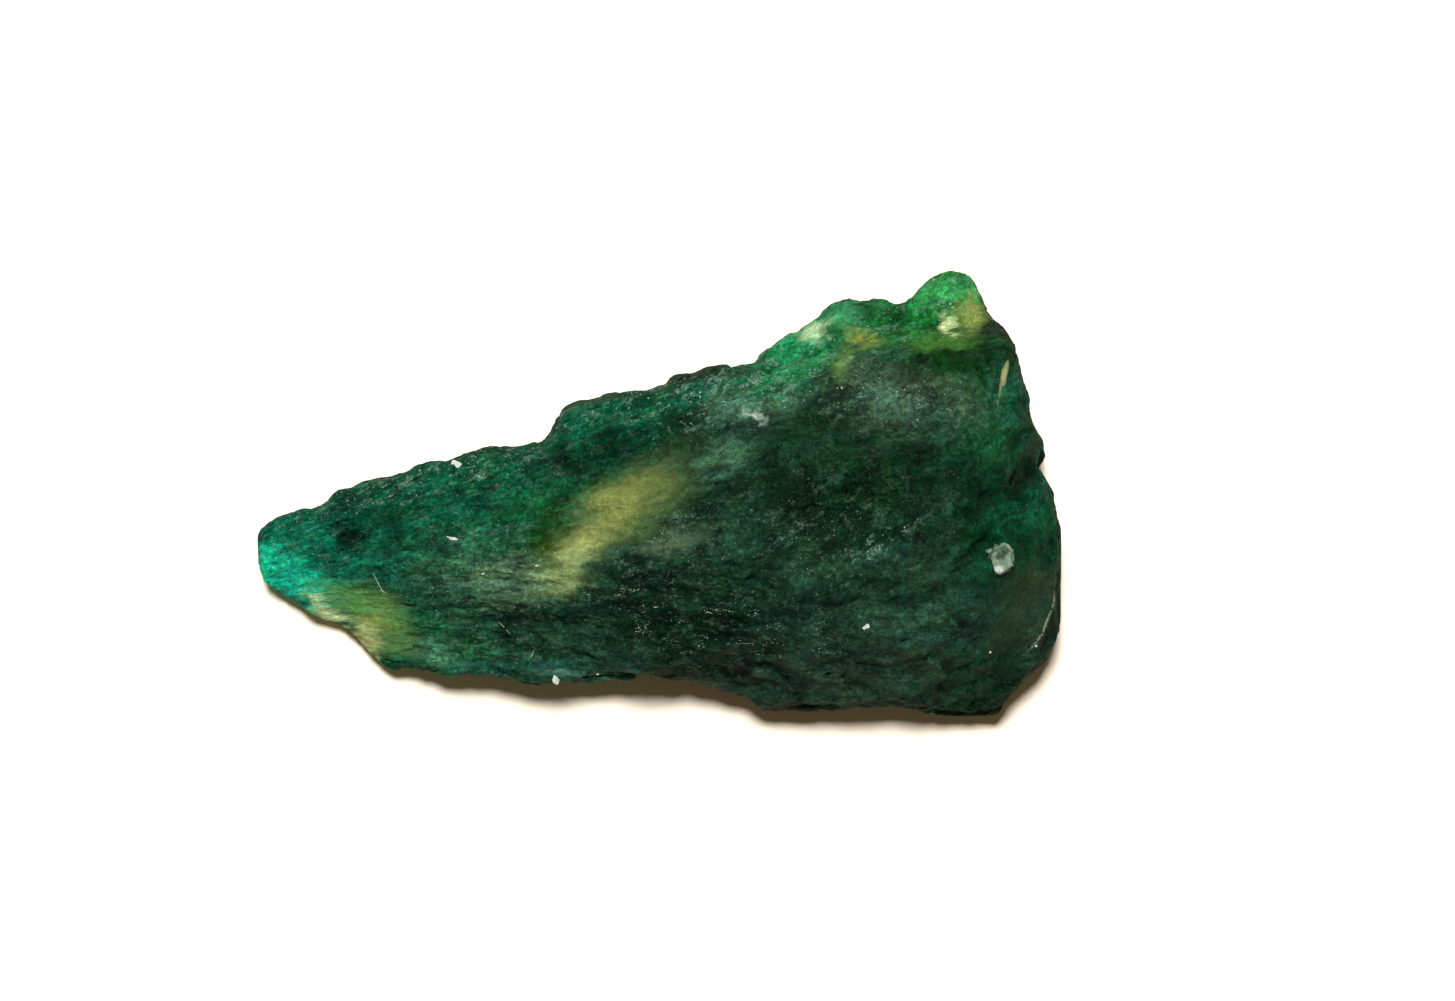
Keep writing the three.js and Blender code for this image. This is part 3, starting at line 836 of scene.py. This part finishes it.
# noise along the fibres, the limits between which it becomes a mask, and its weight
SUGAR = {"scale": 2.3, "squeeze": 1.2, "detail": 4, "roughness": 0.7}
FROST = {"scale": 0.9, "squeeze": 1.4, "detail": 6, "roughness": 0.7}
SUGAR_LIMITS, SUGAR_WEIGHT = (0.56, 0.63), 0.5
FROST_LIMITS, FROST_WEIGHT = (0.53, 0.61), 0.45
DOTS_PER_MM, DOT_LIMITS, BETWEEN_DOTS = 6.0, (0.42, 0.60), 0.25
CRACK_STRETCH, CRACK_SHAKE = (1.1, 2.0, 2.0), 2.2
CRACK_LIMITS, CRACK_WEIGHT = (1.45, 1.75), 0.15
# name, middle, half length and half width, turn, softness, strength
HAZE_ZONES = (
    ("crust", (10.8, 4.5), (4.4, 1.3), -6, 0.7, 1.1),
    ("upper_rim", (-11.5, 1.0), (6.2, 1.0), 17, 0.8, 1.1),
    ("upper_left", (-8.0, 0.0), (5.0, 1.6), 15, 0.8, 0.3),
    ("block_rim", (0.5, 4.9), (5.5, 0.9), 15, 0.8, 1.0),
    ("crest", (3.0, 4.4), (3.8, 1.3), 15, 0.7, 0.8),
    ("middle", (5.5, -2.4), (6.5, 3.0), 10, 0.8, 0.4),
    ("ridge", (10.2, -3.0), (2.4, 0.45), 36, 0.8, 0.9),
    ("ridge_beside", (6.6, -2.0), (1.6, 0.4), 12, 0.8, 0.6),
    ("left", (-7.5, -3.9), (4.4, 2.0), 12, 0.8, 0.7),
    ("band", (0.2, -1.6), (2.6, 1.2), 28, 0.8, 0.5),
    ("lower", (3.0, -7.8), (9.0, 2.0), 0, 0.7, 0.15),
    ("low_left", (-9.0, -7.6), (4.0, 1.2), 0, 0.7, 0.28),
    ("thin_end", (-17.6, -2.4), (2.6, 1.8), -15, 0.7, 0.45),
    ("shelf", (8.6, 7.9), (4.6, 1.6), 10, 0.8, 0.8),
    ("knob", (14.2, 9.8), (1.6, 1.4), 0, 0.8, 0.9),
    ("lobe", (16.4, -1.8), (3.0, 3.0), 0, 0.8, 0.02),
)
haze_share = HAZE_EVERYWHERE
for name, middle, half, turn, softness, strength in HAZE_ZONES:
    haze_share = haze_share + egg(middle, half, turn, softness, torn) * strength
sugar = rising(along_fibres(**SUGAR), *SUGAR_LIMITS)
frost = rising(along_fibres(**FROST), *FROST_LIMITS)
dots = rising(clouds(place, DOTS_PER_MM, detail=2, roughness=0.7), *DOT_LIMITS)
crack_place = fan * CRACK_STRETCH + shaken * CRACK_SHAKE
cracks = rising(crests(crack_place, detail=3), *CRACK_LIMITS) * frost
clumps = sugar * SUGAR_WEIGHT + frost * FROST_WEIGHT + cracks * CRACK_WEIGHT
haze = clumps * (BETWEEN_DOTS + dots) * haze_share
colour = mixed(colour, paint(*HAZE_TONE), haze * HAZE_STRENGTH)
print("haze zones:", len(HAZE_ZONES))

# %% [markdown]
# ## Straw and yellow zones
# A band of straw yellow crosses the stone, the lower left corner is pale lime and cream, and
# yellow flecks sit by the knob. These lie nearer the surface than the green, so they come over
# the haze, with their own weaker texture. Their edges use the torn places.

# %% Straw zones
STRAW_ZONES = (
    ("corner_green", (-13.9, -5.9), (2.0, 0.9), -30, 0.9, 0.6, (44, 122, 62)),
    ("corner", (-13.8, -6.1), (1.6, 0.9), -40, 0.9, 0.8, (126, 168, 88)),
    ("corner_heart", (-13.9, -6.6), (0.6, 0.45), -30, 0.9, 0.7, (146, 166, 86)),
    ("corner_lime", (-15.2, -5.3), (1.5, 0.4), -16, 0.9, 0.8, (104, 176, 98)),
    ("rim", (-16.4, -5.9), (1.1, 0.36), -32, 0.8, 0.95, (206, 232, 168)),
    ("rim_low", (-14.3, -7.25), (0.8, 0.36), -52, 0.8, 0.8, (190, 198, 134)),
    ("corner_leaf", (-13.0, -8.3), (0.9, 0.28), -12, 0.8, 0.8, (16, 96, 56)),
    ("olive_margin", (-5.3, -2.4), (1.1, 1.2), 40, 0.9, 0.95, (26, 62, 0)),
    ("band_body", (-2.2, -1.2), (3.5, 1.15), 41, 1.0, 0.8, (98, 120, 62)),
    ("band_side", (-0.2, -0.9), (1.6, 0.8), 30, 1.0, 0.6, (80, 108, 62)),
    ("band_upper", (-0.9, 0.25), (1.3, 0.6), 30, 0.9, 0.7, (110, 128, 70)),
    ("band_heart", (-2.2, -0.7), (1.5, 0.75), 24, 0.9, 0.85, (140, 150, 80)),
    ("band_low_heart", (-3.5, -2.5), (1.3, 0.65), 38, 0.9, 0.95, (170, 180, 106)),
    ("band_tail", (-4.5, -3.6), (1.4, 0.6), 34, 0.9, 0.8, (154, 176, 112)),
    ("teal_by_band", (-1.7, -2.9), (0.9, 0.4), 24, 0.9, 0.7, (46, 92, 66)),
    ("pale_by_band", (0.8, -2.35), (1.3, 0.5), 26, 0.9, 0.8, (92, 114, 84)),
    ("shelf_beige", (7.9, 8.15), (0.75, 0.45), 35, 0.9, 0.95, (204, 240, 186)),
    ("shelf_mint", (9.2, 8.9), (0.9, 0.6), 10, 0.9, 0.7, (80, 172, 122)),
    ("fleck", (9.95, 7.75), (0.55, 0.4), -10, 1.0, 0.85, (142, 170, 72)),
    ("fleck_heart", (10.1, 7.75), (0.25, 0.2), 0, 0.8, 0.6, (176, 160, 66)),
    ("drip", (9.0, 6.3), (0.42, 0.9), -8, 0.9, 0.75, (106, 144, 76)),
    ("by_knob", (15.1, 8.7), (0.75, 0.7), 0, 0.8, 0.85, (144, 166, 80)),
    ("knob_edge", (15.3, 9.1), (0.25, 0.6), 8, 0.9, 0.6, (152, 158, 76)),
    ("by_knob_pale", (13.95, 8.2), (0.24, 0.34), 30, 1.0, 0.93, (218, 236, 170)),
    ("grass", (13.9, 7.4), (1.5, 0.4), 0, 0.9, 0.65, (84, 144, 56)),
    ("crest_spark", (4.7, 3.75), (0.28, 0.17), -25, 1.0, 0.95, (210, 232, 214)),
    ("upper_edge_speck", (0.55, 5.3), (0.25, 0.12), 20, 0.6, 0.8, (170, 178, 100)),
    # painted highlight: a pale line along the lip of the lower edge
    ("lower_edge_highlight", (1.9, -9.65), (2.9, 0.13), -13, 0.9, 0.6, (104, 132, 108)),
    ("low_lip_left", (-4.4, -8.95), (1.5, 0.2), 0, 0.9, 0.5, (96, 134, 118)),
)
STRAW_DEPTH, STRAW_GRAIN = 0.44, 0.5
straw, straw_share = laid_over(colour, STRAW_ZONES, torn)
straw_texture = around_one(mottling, STRAW_DEPTH) * around_one(specks, STRAW_DEPTH)
straw_texture = straw_texture * around_one(grain, STRAW_GRAIN)
colour = straw * (1 + (straw_texture - 1) * straw_share)
print("straw zones:", len(STRAW_ZONES))

# %% [markdown]
# ## Cleavage flecks and painted glints
# The mineral splits along flat planes, and where tiny splits catch the lamp they glint as short
# curly lines, most of them in two patches low in the middle. True glints would need far finer
# geometry, so they are painted into the colour as the narrow crests of a ridged noise, and single
# sparks, also painted, are the rarest tops of another noise.

# %% Glints and sparks
SPARKLING = (((0.6, -5.7), (6.2, 1.5), -10, 0.8), ((6.0, -7.2), (6.0, 1.6), -4, 0.8))
SPARKLING_SHARES = (0.7, 0.3)
LINE_STRETCH, LINE_SHAKE, GATHER_STRETCH = (2.6, 5.5, 5.5), 2.4, (0.8, 2.0, 2.0)
GLINT_LIMITS, GLINT_STRENGTH = (0.0, 0.8), 0.95
GLINT_TONE = (220, 238, 222)
GLINT_LINES, GLINT_PLACES, SPARK_TOPS = (1.53, 1.65), (0.54, 0.62), (0.72, 0.75)
SPARKS_PER_MM, SPARKS_EVERYWHERE, SPARKS_IN_HAZE = 6.5, 0.12, 0.3

sparkling = egg(*SPARKLING[0]) * SPARKLING_SHARES[0] + egg(*SPARKLING[1]) * SPARKLING_SHARES[1]
line_place = fan * LINE_STRETCH + shaken * LINE_SHAKE
lines = rising(crests(line_place, detail=3, roughness=0.5), *GLINT_LINES)
gathered = rising(clouds(fan * GATHER_STRETCH + shaken, 1.0, detail=3), *GLINT_PLACES)
spark_share = SPARKS_EVERYWHERE + SPARKS_IN_HAZE * haze_share
sparks = rising(clouds(place, SPARKS_PER_MM, detail=1), *SPARK_TOPS) * spark_share
glints = lines * gathered * sparkling + sparks
# painted glints: pale highlights mixed into the colour
colour = mixed(colour, paint(*GLINT_TONE), rising(glints, *GLINT_LIMITS) * GLINT_STRENGTH)
print("glints gather in", len(SPARKLING), "patches")

# %% [markdown]
# ## Rim of the right lobe
# The right lobe ends in a thin edge with a painted highlight, and beyond it the wall drops away
# and is darkened with painted shade. The edge is a part of one large egg-shaped outline: a narrow
# band around distance one is the painted highlight, and everything beyond it gets the painted shade
# of the wall.

# %% Lobe rim
LOBE = ((16.3, -4.2), (3.35, 4.5), 0)
LOBE_STRETCH = ((19.4, -6.4), (1.5, 1.8), 15, 0.5)
LOBE_LINE = (0.95, 0.975, 0.98, 1.0)
LOBE_HIGHLIGHT_TONE = (186, 196, 168)
LOBE_LINE_ABOVE = (1.2, 2.2)
LOBE_LINE_GAPS, LOBE_HIGHLIGHT_STRENGTH = (0.3, 0.7), 0.6
LOBE_WALL_LIMITS, LOBE_WALL_SHADE = (0.99, 1.03), 0.6
RIM_WANDER_PER_MM, RIM_WANDER = 1.2, 0.35

lobe_edge = place + shift_noise(place, RIM_WANDER_PER_MM, detail=3) * RIM_WANDER
lobe_out = egg_distance(*LOBE, lobe_edge)
lobe_stretch = egg(*LOBE_STRETCH, place) * rising(up, *LOBE_LINE_ABOVE)
# painted highlight: a thin bright line along the lobe's edge
lobe_highlight = rising(lobe_out, *LOBE_LINE[:2]) * (1 - rising(lobe_out, *LOBE_LINE[2:])) * lobe_stretch
# painted shade on the wall beyond the lobe's edge
beyond = rising(lobe_out, *LOBE_WALL_LIMITS)
colour = colour * (1 - LOBE_WALL_SHADE * beyond * lobe_stretch)
lobe_highlight = lobe_highlight * rising(specks, *LOBE_LINE_GAPS) * LOBE_HIGHLIGHT_STRENGTH
colour = mixed(colour, paint(*LOBE_HIGHLIGHT_TONE), lobe_highlight)
print("lobe outline, mm:", [2 * half for half in LOBE[1]])

# %% [markdown]
# ## Walls, gloss and bumps
# The steep walls are darkened with painted shade, and they are a little duller. The gloss is
# low, because the surface is broken and not polished. The relief gives the large forms, and a bump
# adds what is finer than the skin's squares. A little light also passes under the surface.

# %% The stone's shader
STEEP, FLAT, WALL_SHADE = 0.15, 0.6, 0.22
DULL, GLINT_GLOSS, GRAIN_DULL, WALL_DULL = 0.40, 0.16, 0.10, 0.3
BUMP_PARTS = {"crumple": 0.45, "grain": 0.12, "specks": 0.35, "mottling": 0.5}
BUMP_STRENGTH, BUMP_HEIGHT, BUMP_CALM = 0.5, 0.22 * MM, 0.6
GLOSS = 0.03
LIGHT_INSIDE, LIGHT_COLOURS, LIGHT_REACH = 0.15, (0.5, 1.0, 0.7), 0.8 * MM

normal = Wire.node("NewGeometry", {}, {}, output="Normal")
facing_up = Wire.node("SeparateXYZ", {}, {0: normal}, output=2)
wall = 1 - rising(Wire.node("Math", {"operation": "ABSOLUTE"}, {0: facing_up}), STEEP, FLAT)
# painted shade: steep walls are darker
colour = colour * (1 - WALL_SHADE * wall)
colour.into(stone_shader, "Base Color")
roughness = DULL - GLINT_GLOSS * glints + GRAIN_DULL * (grain - 0.5) + WALL_DULL * wall
roughness.into(stone_shader, "Roughness")

bump_height = crumple * BUMP_PARTS["crumple"] + grain * BUMP_PARTS["grain"]
bump_height = bump_height + specks * BUMP_PARTS["specks"] + mottling * BUMP_PARTS["mottling"]
bump_height = bump_height * (1 - BUMP_CALM * calm)
bump_values = {"Strength": BUMP_STRENGTH, "Distance": BUMP_HEIGHT, "Height": bump_height}
Wire.node("Bump", {}, bump_values, output="Normal").into(stone_shader, "Normal")
stone_shader.inputs["Specular IOR Level"].default_value = GLOSS
stone_shader.inputs["Subsurface Weight"].default_value = LIGHT_INSIDE
stone_shader.inputs["Subsurface Radius"].default_value = LIGHT_COLOURS
stone_shader.inputs["Subsurface Scale"].default_value = LIGHT_REACH
print("nodes in the stone's finish:", len(stone_finish.node_tree.nodes))

# %% The stone is handed over
wear(stone, stone_finish)
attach(stone, "root")
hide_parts(SOLID)
print("stone finished:", stone.name)

# %% [markdown]
# ## Foreign grains
# A pale grain of quartz sits in the right lobe, a cream splinter in a groove beside the right
# edge, and a few white crumbs and threads of dust cling to the surface. They could float a little
# above the stone and nobody would see it from straight above. So a ray sent down from above finds
# the skin, and each one is placed by it: the grain, the splinter and the crumbs are partly sunk
# in, the nub only a little, and the threads lie on top.

# %% Helpers for grains
ABOVE_ALL = 1.0


def skin_at(east_mm, north_mm):
    """The point of the stone's skin under this place, seen from above."""
    start = Vector((east_mm * MM, north_mm * MM, ABOVE_ALL))
    return stone.ray_cast(start, Vector((0, 0, -1)))[1]


def fix_place(piece):
    """The piece's place, turn and size go into its mesh."""
    choose(piece)
    bpy.ops.object.transform_apply(location=True, rotation=True, scale=True)


def new_ball(name, subdivisions):
    """A ball of triangles with radius 1, to be cut and roughened."""
    bpy.ops.object.select_all(action="DESELECT")
    bpy.ops.mesh.primitive_ico_sphere_add(subdivisions=subdivisions, radius=1.0, location=(0, 0, 0))
    bpy.context.object.name = name
    return bpy.context.object


def roughen(piece, offset, seed):
    """Every vertex moves a little, half along its normal and half anywhere."""
    edit_all(piece)
    bpy.ops.transform.vertex_random(offset=offset, uniform=0.5, normal=0.5, seed=seed)
    bpy.ops.object.mode_set(mode="OBJECT")


print("skin height over the middle, mm:", round(skin_at(0, 0).z / MM, 2))

# %% [markdown]
# ## Quartz grain
# The grain is a broken crystal about a millimetre and a half across, with flat faces between
# rounded edges. A ball is the start. Bisecting it again and again with a plane, filling the cut
# and clearing the outer part, slices the faces off as a stone cutter would. Then it is roughened.

# %% Pale quartz grain
GRAIN_AT = (16.82, -3.20)
GRAIN_HALF = (0.66, 0.76, 0.46)
GRAIN_TURN = (0.12, -0.1, math.radians(-12))
GRAIN_RISES = 0.06 * MM
GRAIN_ROUGH = 0.09
FACET_ANGLE = math.radians(30)
# direction of each face, and its distance from the middle
GRAIN_FACES = (
    ((1.0, 0.25, 0.2), 0.80), ((0.75, -0.75, 0.2), 0.84), ((-0.75, -0.55, 0.25), 0.78),
    ((-1.0, 0.35, 0.3), 0.80), ((-0.35, 1.0, 0.3), 0.84), ((0.5, 0.85, 0.35), 0.80),
    ((0.1, 0.25, 1.0), 0.66), ((-0.45, -0.35, 0.8), 0.74), ((0.6, -0.1, 0.8), 0.76),
)


def slice_faces(piece, faces):
    """Slices flat faces off a ball."""
    for direction, distance in faces:
        edit_all(piece)
        away = Vector(direction).normalized()
        cut_at = away * distance
        bpy.ops.mesh.bisect(plane_co=cut_at, plane_no=away, use_fill=True, clear_outer=True)
        bpy.ops.object.mode_set(mode="OBJECT")


quartz_grain = new_ball("pale_grain", 4)
slice_faces(quartz_grain, GRAIN_FACES)
roughen(quartz_grain, GRAIN_ROUGH, 2)
quartz_grain.scale = Vector(GRAIN_HALF) * MM
quartz_grain.rotation_euler = GRAIN_TURN
quartz_grain.location = skin_at(*GRAIN_AT) + Vector((0, 0, GRAIN_RISES))
fix_place(quartz_grain)
bpy.ops.object.shade_smooth_by_angle(angle=FACET_ANGLE)
print("quartz grain faces:", len(quartz_grain.data.polygons))

# %% [markdown]
# ## Nub beside the grain
# A small chip of the same crystal sticks to the grain's upper left side. It is too small for flat
# faces to show, so a coarse ball, strongly roughened, is enough.

# %% Nub
NUB_AT = (16.25, -2.82)
NUB_HALF = (0.17, 0.13, 0.14)
NUB_RISES = 0.10 * MM
NUB_ROUGH = 0.25

nub = new_ball("grain_nub", 2)
roughen(nub, NUB_ROUGH, 6)
nub.scale = Vector(NUB_HALF) * MM
nub.location = skin_at(*NUB_AT) + Vector((0, 0, NUB_RISES))
fix_place(nub)
print("nub faces:", len(nub.data.polygons))

# %% [markdown]
# ## Cream splinter
# A thin sliver of a cream mineral lies in a groove, pointed at both ends. A cylinder is bisected
# into short stretches, and each ring of vertices is then moved and scaled to its place along the
# sliver's line. Doing this in code keeps every ring on the stone's skin. A Subdivision Surface
# modifier rounds it, and a little randomness takes away the turned look.

# %% Cream splinter
# place in mm and half width in mm, from the top end to the low end
SPLINTER_LINE = (
    ((17.20, 6.75), 0.02), ((17.12, 6.35), 0.13), ((17.00, 5.95), 0.21), ((16.90, 5.45), 0.19),
    ((16.79, 4.95), 0.13), ((16.68, 4.55), 0.07), ((16.62, 4.28), 0.02),
)
SPLINTER_SUNK = 0.05 * MM
SPLINTER_ROUGH = 0.015 * MM
BLADE_SIDES = 8


def blade(name, line, sunk):
    """A thin piece along a line of places on the skin, thickest where its half width is largest."""
    spans = len(line) - 1
    bpy.ops.object.select_all(action="DESELECT")
    bpy.ops.mesh.primitive_cylinder_add(
        vertices=BLADE_SIDES, radius=1.0, depth=1.0, location=(0, 0, 0)
    )
    piece = bpy.context.object
    piece.name = name
    for level in range(1, spans):
        edit_all(piece)
        bpy.ops.mesh.bisect(plane_co=(0, 0, level / spans - 0.5), plane_no=(0, 0, 1))
        bpy.ops.object.mode_set(mode="OBJECT")
    spots = [skin_at(*at) - Vector((0, 0, sunk)) for at, half in line]
    across = (spots[-1] - spots[0]).cross(Vector((0, 0, 1))).normalized()
    for vertex in piece.data.vertices:
        along = (0.5 - vertex.co.z) * spans
        first = min(int(along), spans - 1)
        share = along - first
        middle = spots[first].lerp(spots[first + 1], share)
        half = line[first][1] * (1 - share) + line[first + 1][1] * share
        vertex.co = middle + (across * vertex.co.x + Vector((0, 0, vertex.co.y))) * half * MM
    edit_all(piece)
    bpy.ops.mesh.normals_make_consistent(inside=False)
    bpy.ops.object.mode_set(mode="OBJECT")
    apply_modifier(piece, "SUBSURF", levels=1, render_levels=1)
    bpy.ops.object.shade_smooth()
    return piece


splinter = blade("cream_splinter", SPLINTER_LINE, SPLINTER_SUNK)
roughen(splinter, SPLINTER_ROUGH, 4)
print("cream splinter faces:", len(splinter.data.polygons))

# %% [markdown]
# ## Threads of dust
# A few pale threads, about as thin as a hair, lie on the left half. Curves would do, but they are
# made as the splinter is, only thinner and laid just above the skin instead of sunk into it, and
# joined into one piece.

# %% Threads of dust
# places in mm and half widths in mm of each thread
THREADS = (
    (((-14.15, -3.85), 0.010), ((-13.90, -4.30), 0.022), ((-13.72, -4.68), 0.024),
     ((-13.52, -4.95), 0.010)),
    (((-13.95, -4.55), 0.010), ((-13.72, -4.78), 0.020), ((-13.40, -4.92), 0.010)),
    (((-11.33, -8.32), 0.012), ((-10.85, -8.22), 0.032), ((-10.39, -8.17), 0.012)),
    (((-6.29, -8.12), 0.012), ((-6.20, -7.92), 0.030), ((-6.14, -7.73), 0.012)),
    (((-7.97, -6.30), 0.012), ((-7.60, -6.58), 0.026), ((-7.28, -6.99), 0.012)),
)
THREAD_SUNK = -0.02 * MM


def joined_as(name, pieces):
    """Several small pieces become one piece with this name."""
    bpy.ops.object.select_all(action="DESELECT")
    for piece in pieces:
        piece.select_set(True)
    bpy.context.view_layer.objects.active = pieces[0]
    bpy.ops.object.join()
    bpy.context.object.name = name
    return bpy.context.object


dust_threads = joined_as("dust_threads", [blade("thread", line, THREAD_SUNK) for line in THREADS])
print("threads:", len(THREADS), "with faces:", len(dust_threads.data.polygons))

# %% [markdown]
# ## White crumbs
# White crumbs of the rock around the mineral stick to it. The largest lie on the upper edge and
# on the lower edge. Each is a coarse ball, roughened with its own seed so that no two are alike,
# pressed flat, and sunk a little into the skin.

# %% White crumbs
# place in mm, half sizes in mm, turn in degrees
CRUMBS = (
    ((-9.95, 1.36), (0.42, 0.22, 0.15), -25),
    ((-10.05, -2.28), (0.36, 0.10, 0.10), -20),
    ((-5.06, -9.15), (0.17, 0.27, 0.20), 10),
    ((10.20, -6.55), (0.19, 0.13, 0.12), 25),
    ((-3.0, -8.90), (0.08, 0.07, 0.08), 0),
    ((18.62, -7.50), (0.08, 0.06, 0.06), 40),
    ((16.30, -7.80), (0.09, 0.06, 0.04), 0),
    ((-5.95, -3.55), (0.12, 0.06, 0.07), 30),
    ((-8.60, -3.92), (0.12, 0.05, 0.06), 50),
)
CRUMB_SUNK = 0.03 * MM
CRUMB_ROUGH = 0.28

crumbs = []
for number, (at, half, turn) in enumerate(CRUMBS):
    crumb = new_ball("crumb", 2)
    roughen(crumb, CRUMB_ROUGH, number)
    crumb.scale = Vector(half) * MM
    crumb.rotation_euler = (0, 0, math.radians(turn))
    crumb.location = skin_at(*at) - Vector((0, 0, CRUMB_SUNK))
    fix_place(crumb)
    crumbs.append(crumb)
white_crumbs = joined_as("white_crumbs", crumbs)
print("crumbs:", len(CRUMBS))

# %% [markdown]
# ## Finishes of the small pieces
# Quartz, cream mineral, white crumbs and dust are all chalky and sugary. One recipe serves them
# all: two tones in fine clouds, a finer noise for sugar and for the bump. The quartz grain and the
# splinter also get soft round spots of other tones, where they are dark, clear or bruised white.

# %% Recipe for small pieces
SPOT_FULL, SPOT_GONE = 0.4, 1.4
SUGAR_TIMES, SUGAR_DEPTH = 4, 0.5
GRAIN_BUMP, GRAIN_BUMP_HEIGHT = 0.5, 0.06 * MM
GRAIN_DULLEST, GRAIN_DULL_DEPTH, GRAIN_GLOSS = 0.45, 0.2, 0.15
SPOT_STRENGTH, SPOT_DEPTH = 0.7, 0.3


def spot(middle, half):
    """1 in the middle of a soft round spot, 0 outside."""
    ends = {0: in_mm(), 1: middle}
    away = Wire.node("VectorMath", {"operation": "DISTANCE"}, ends, output="Value")
    return 1 - rising(away, half * SPOT_FULL, half * SPOT_GONE)


def grain_finish(name, pale, dark, per_mm, dark_share, spots=()):
    """Chalky grain: two tones in fine clouds, spots of other tones, and a sugary bump."""
    made, shader = new_finish(name)
    here = in_mm()
    patches = stretched(clouds(here, per_mm, detail=4, roughness=0.65))
    tones = mixed(paint(*pale), paint(*dark), patches * dark_share)
    for middle, half, shade in spots:
        share = spot(middle, half) * (SPOT_STRENGTH + SPOT_DEPTH * patches)
        tones = mixed(tones, paint(*shade), share)
    sugar_noise = clouds(here, per_mm * SUGAR_TIMES, detail=3)
    tones = tones * around_one(stretched(sugar_noise), SUGAR_DEPTH)
    tones.into(shader, "Base Color")
    values = {"Strength": GRAIN_BUMP, "Distance": GRAIN_BUMP_HEIGHT, "Height": sugar_noise}
    Wire.node("Bump", {}, values, output="Normal").into(shader, "Normal")
    (GRAIN_DULLEST + GRAIN_DULL_DEPTH * patches).into(shader, "Roughness")
    shader.inputs["Specular IOR Level"].default_value = GRAIN_GLOSS
    return made


print("sugar is", SUGAR_TIMES, "times as fine as the patches")

# %% The small pieces get their finishes
GRAIN_STANDS = 0.3
grain_top = skin_at(*GRAIN_AT).z / MM + GRAIN_STANDS
splinter_top = skin_at(*SPLINTER_LINE[4][0]).z / MM
# middle in mm, half size in mm, tone
GRAIN_SPOTS = (
    ((16.85, -2.95, grain_top), 0.34, (30, 58, 32)),
    ((17.2, -3.2, grain_top), 0.25, (128, 158, 138)),
    ((16.65, -3.75, grain_top), 0.26, (236, 248, 236)),
    ((16.3, -2.9, grain_top), 0.14, (220, 236, 220)),
)
SPLINTER_SPOTS = (
    ((16.72, 4.75, splinter_top), 0.45, (92, 116, 66)),
    ((17.05, 5.9, splinter_top), 0.3, (178, 172, 122)),
)
quartz = grain_finish("pale_quartz", (150, 176, 148), (52, 80, 52), 3.6, 1.0, GRAIN_SPOTS)
cream = grain_finish("cream_mineral", (168, 168, 118), (92, 108, 62), 2.6, 0.9, SPLINTER_SPOTS)
chalk = grain_finish("white_crumb", (232, 240, 230), (150, 172, 154), 4.0, 0.5)
dust = grain_finish("dust", (176, 200, 168), (120, 150, 120), 3.0, 0.6)
SMALL_PIECES = (
    (quartz_grain, quartz),
    (nub, quartz),
    (splinter, cream),
    (dust_threads, dust),
    (white_crumbs, chalk),
)
for piece, finish in SMALL_PIECES:
    wear(piece, finish)
    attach(piece, "root")
print("small pieces:", [piece.name for piece, finish in SMALL_PIECES])
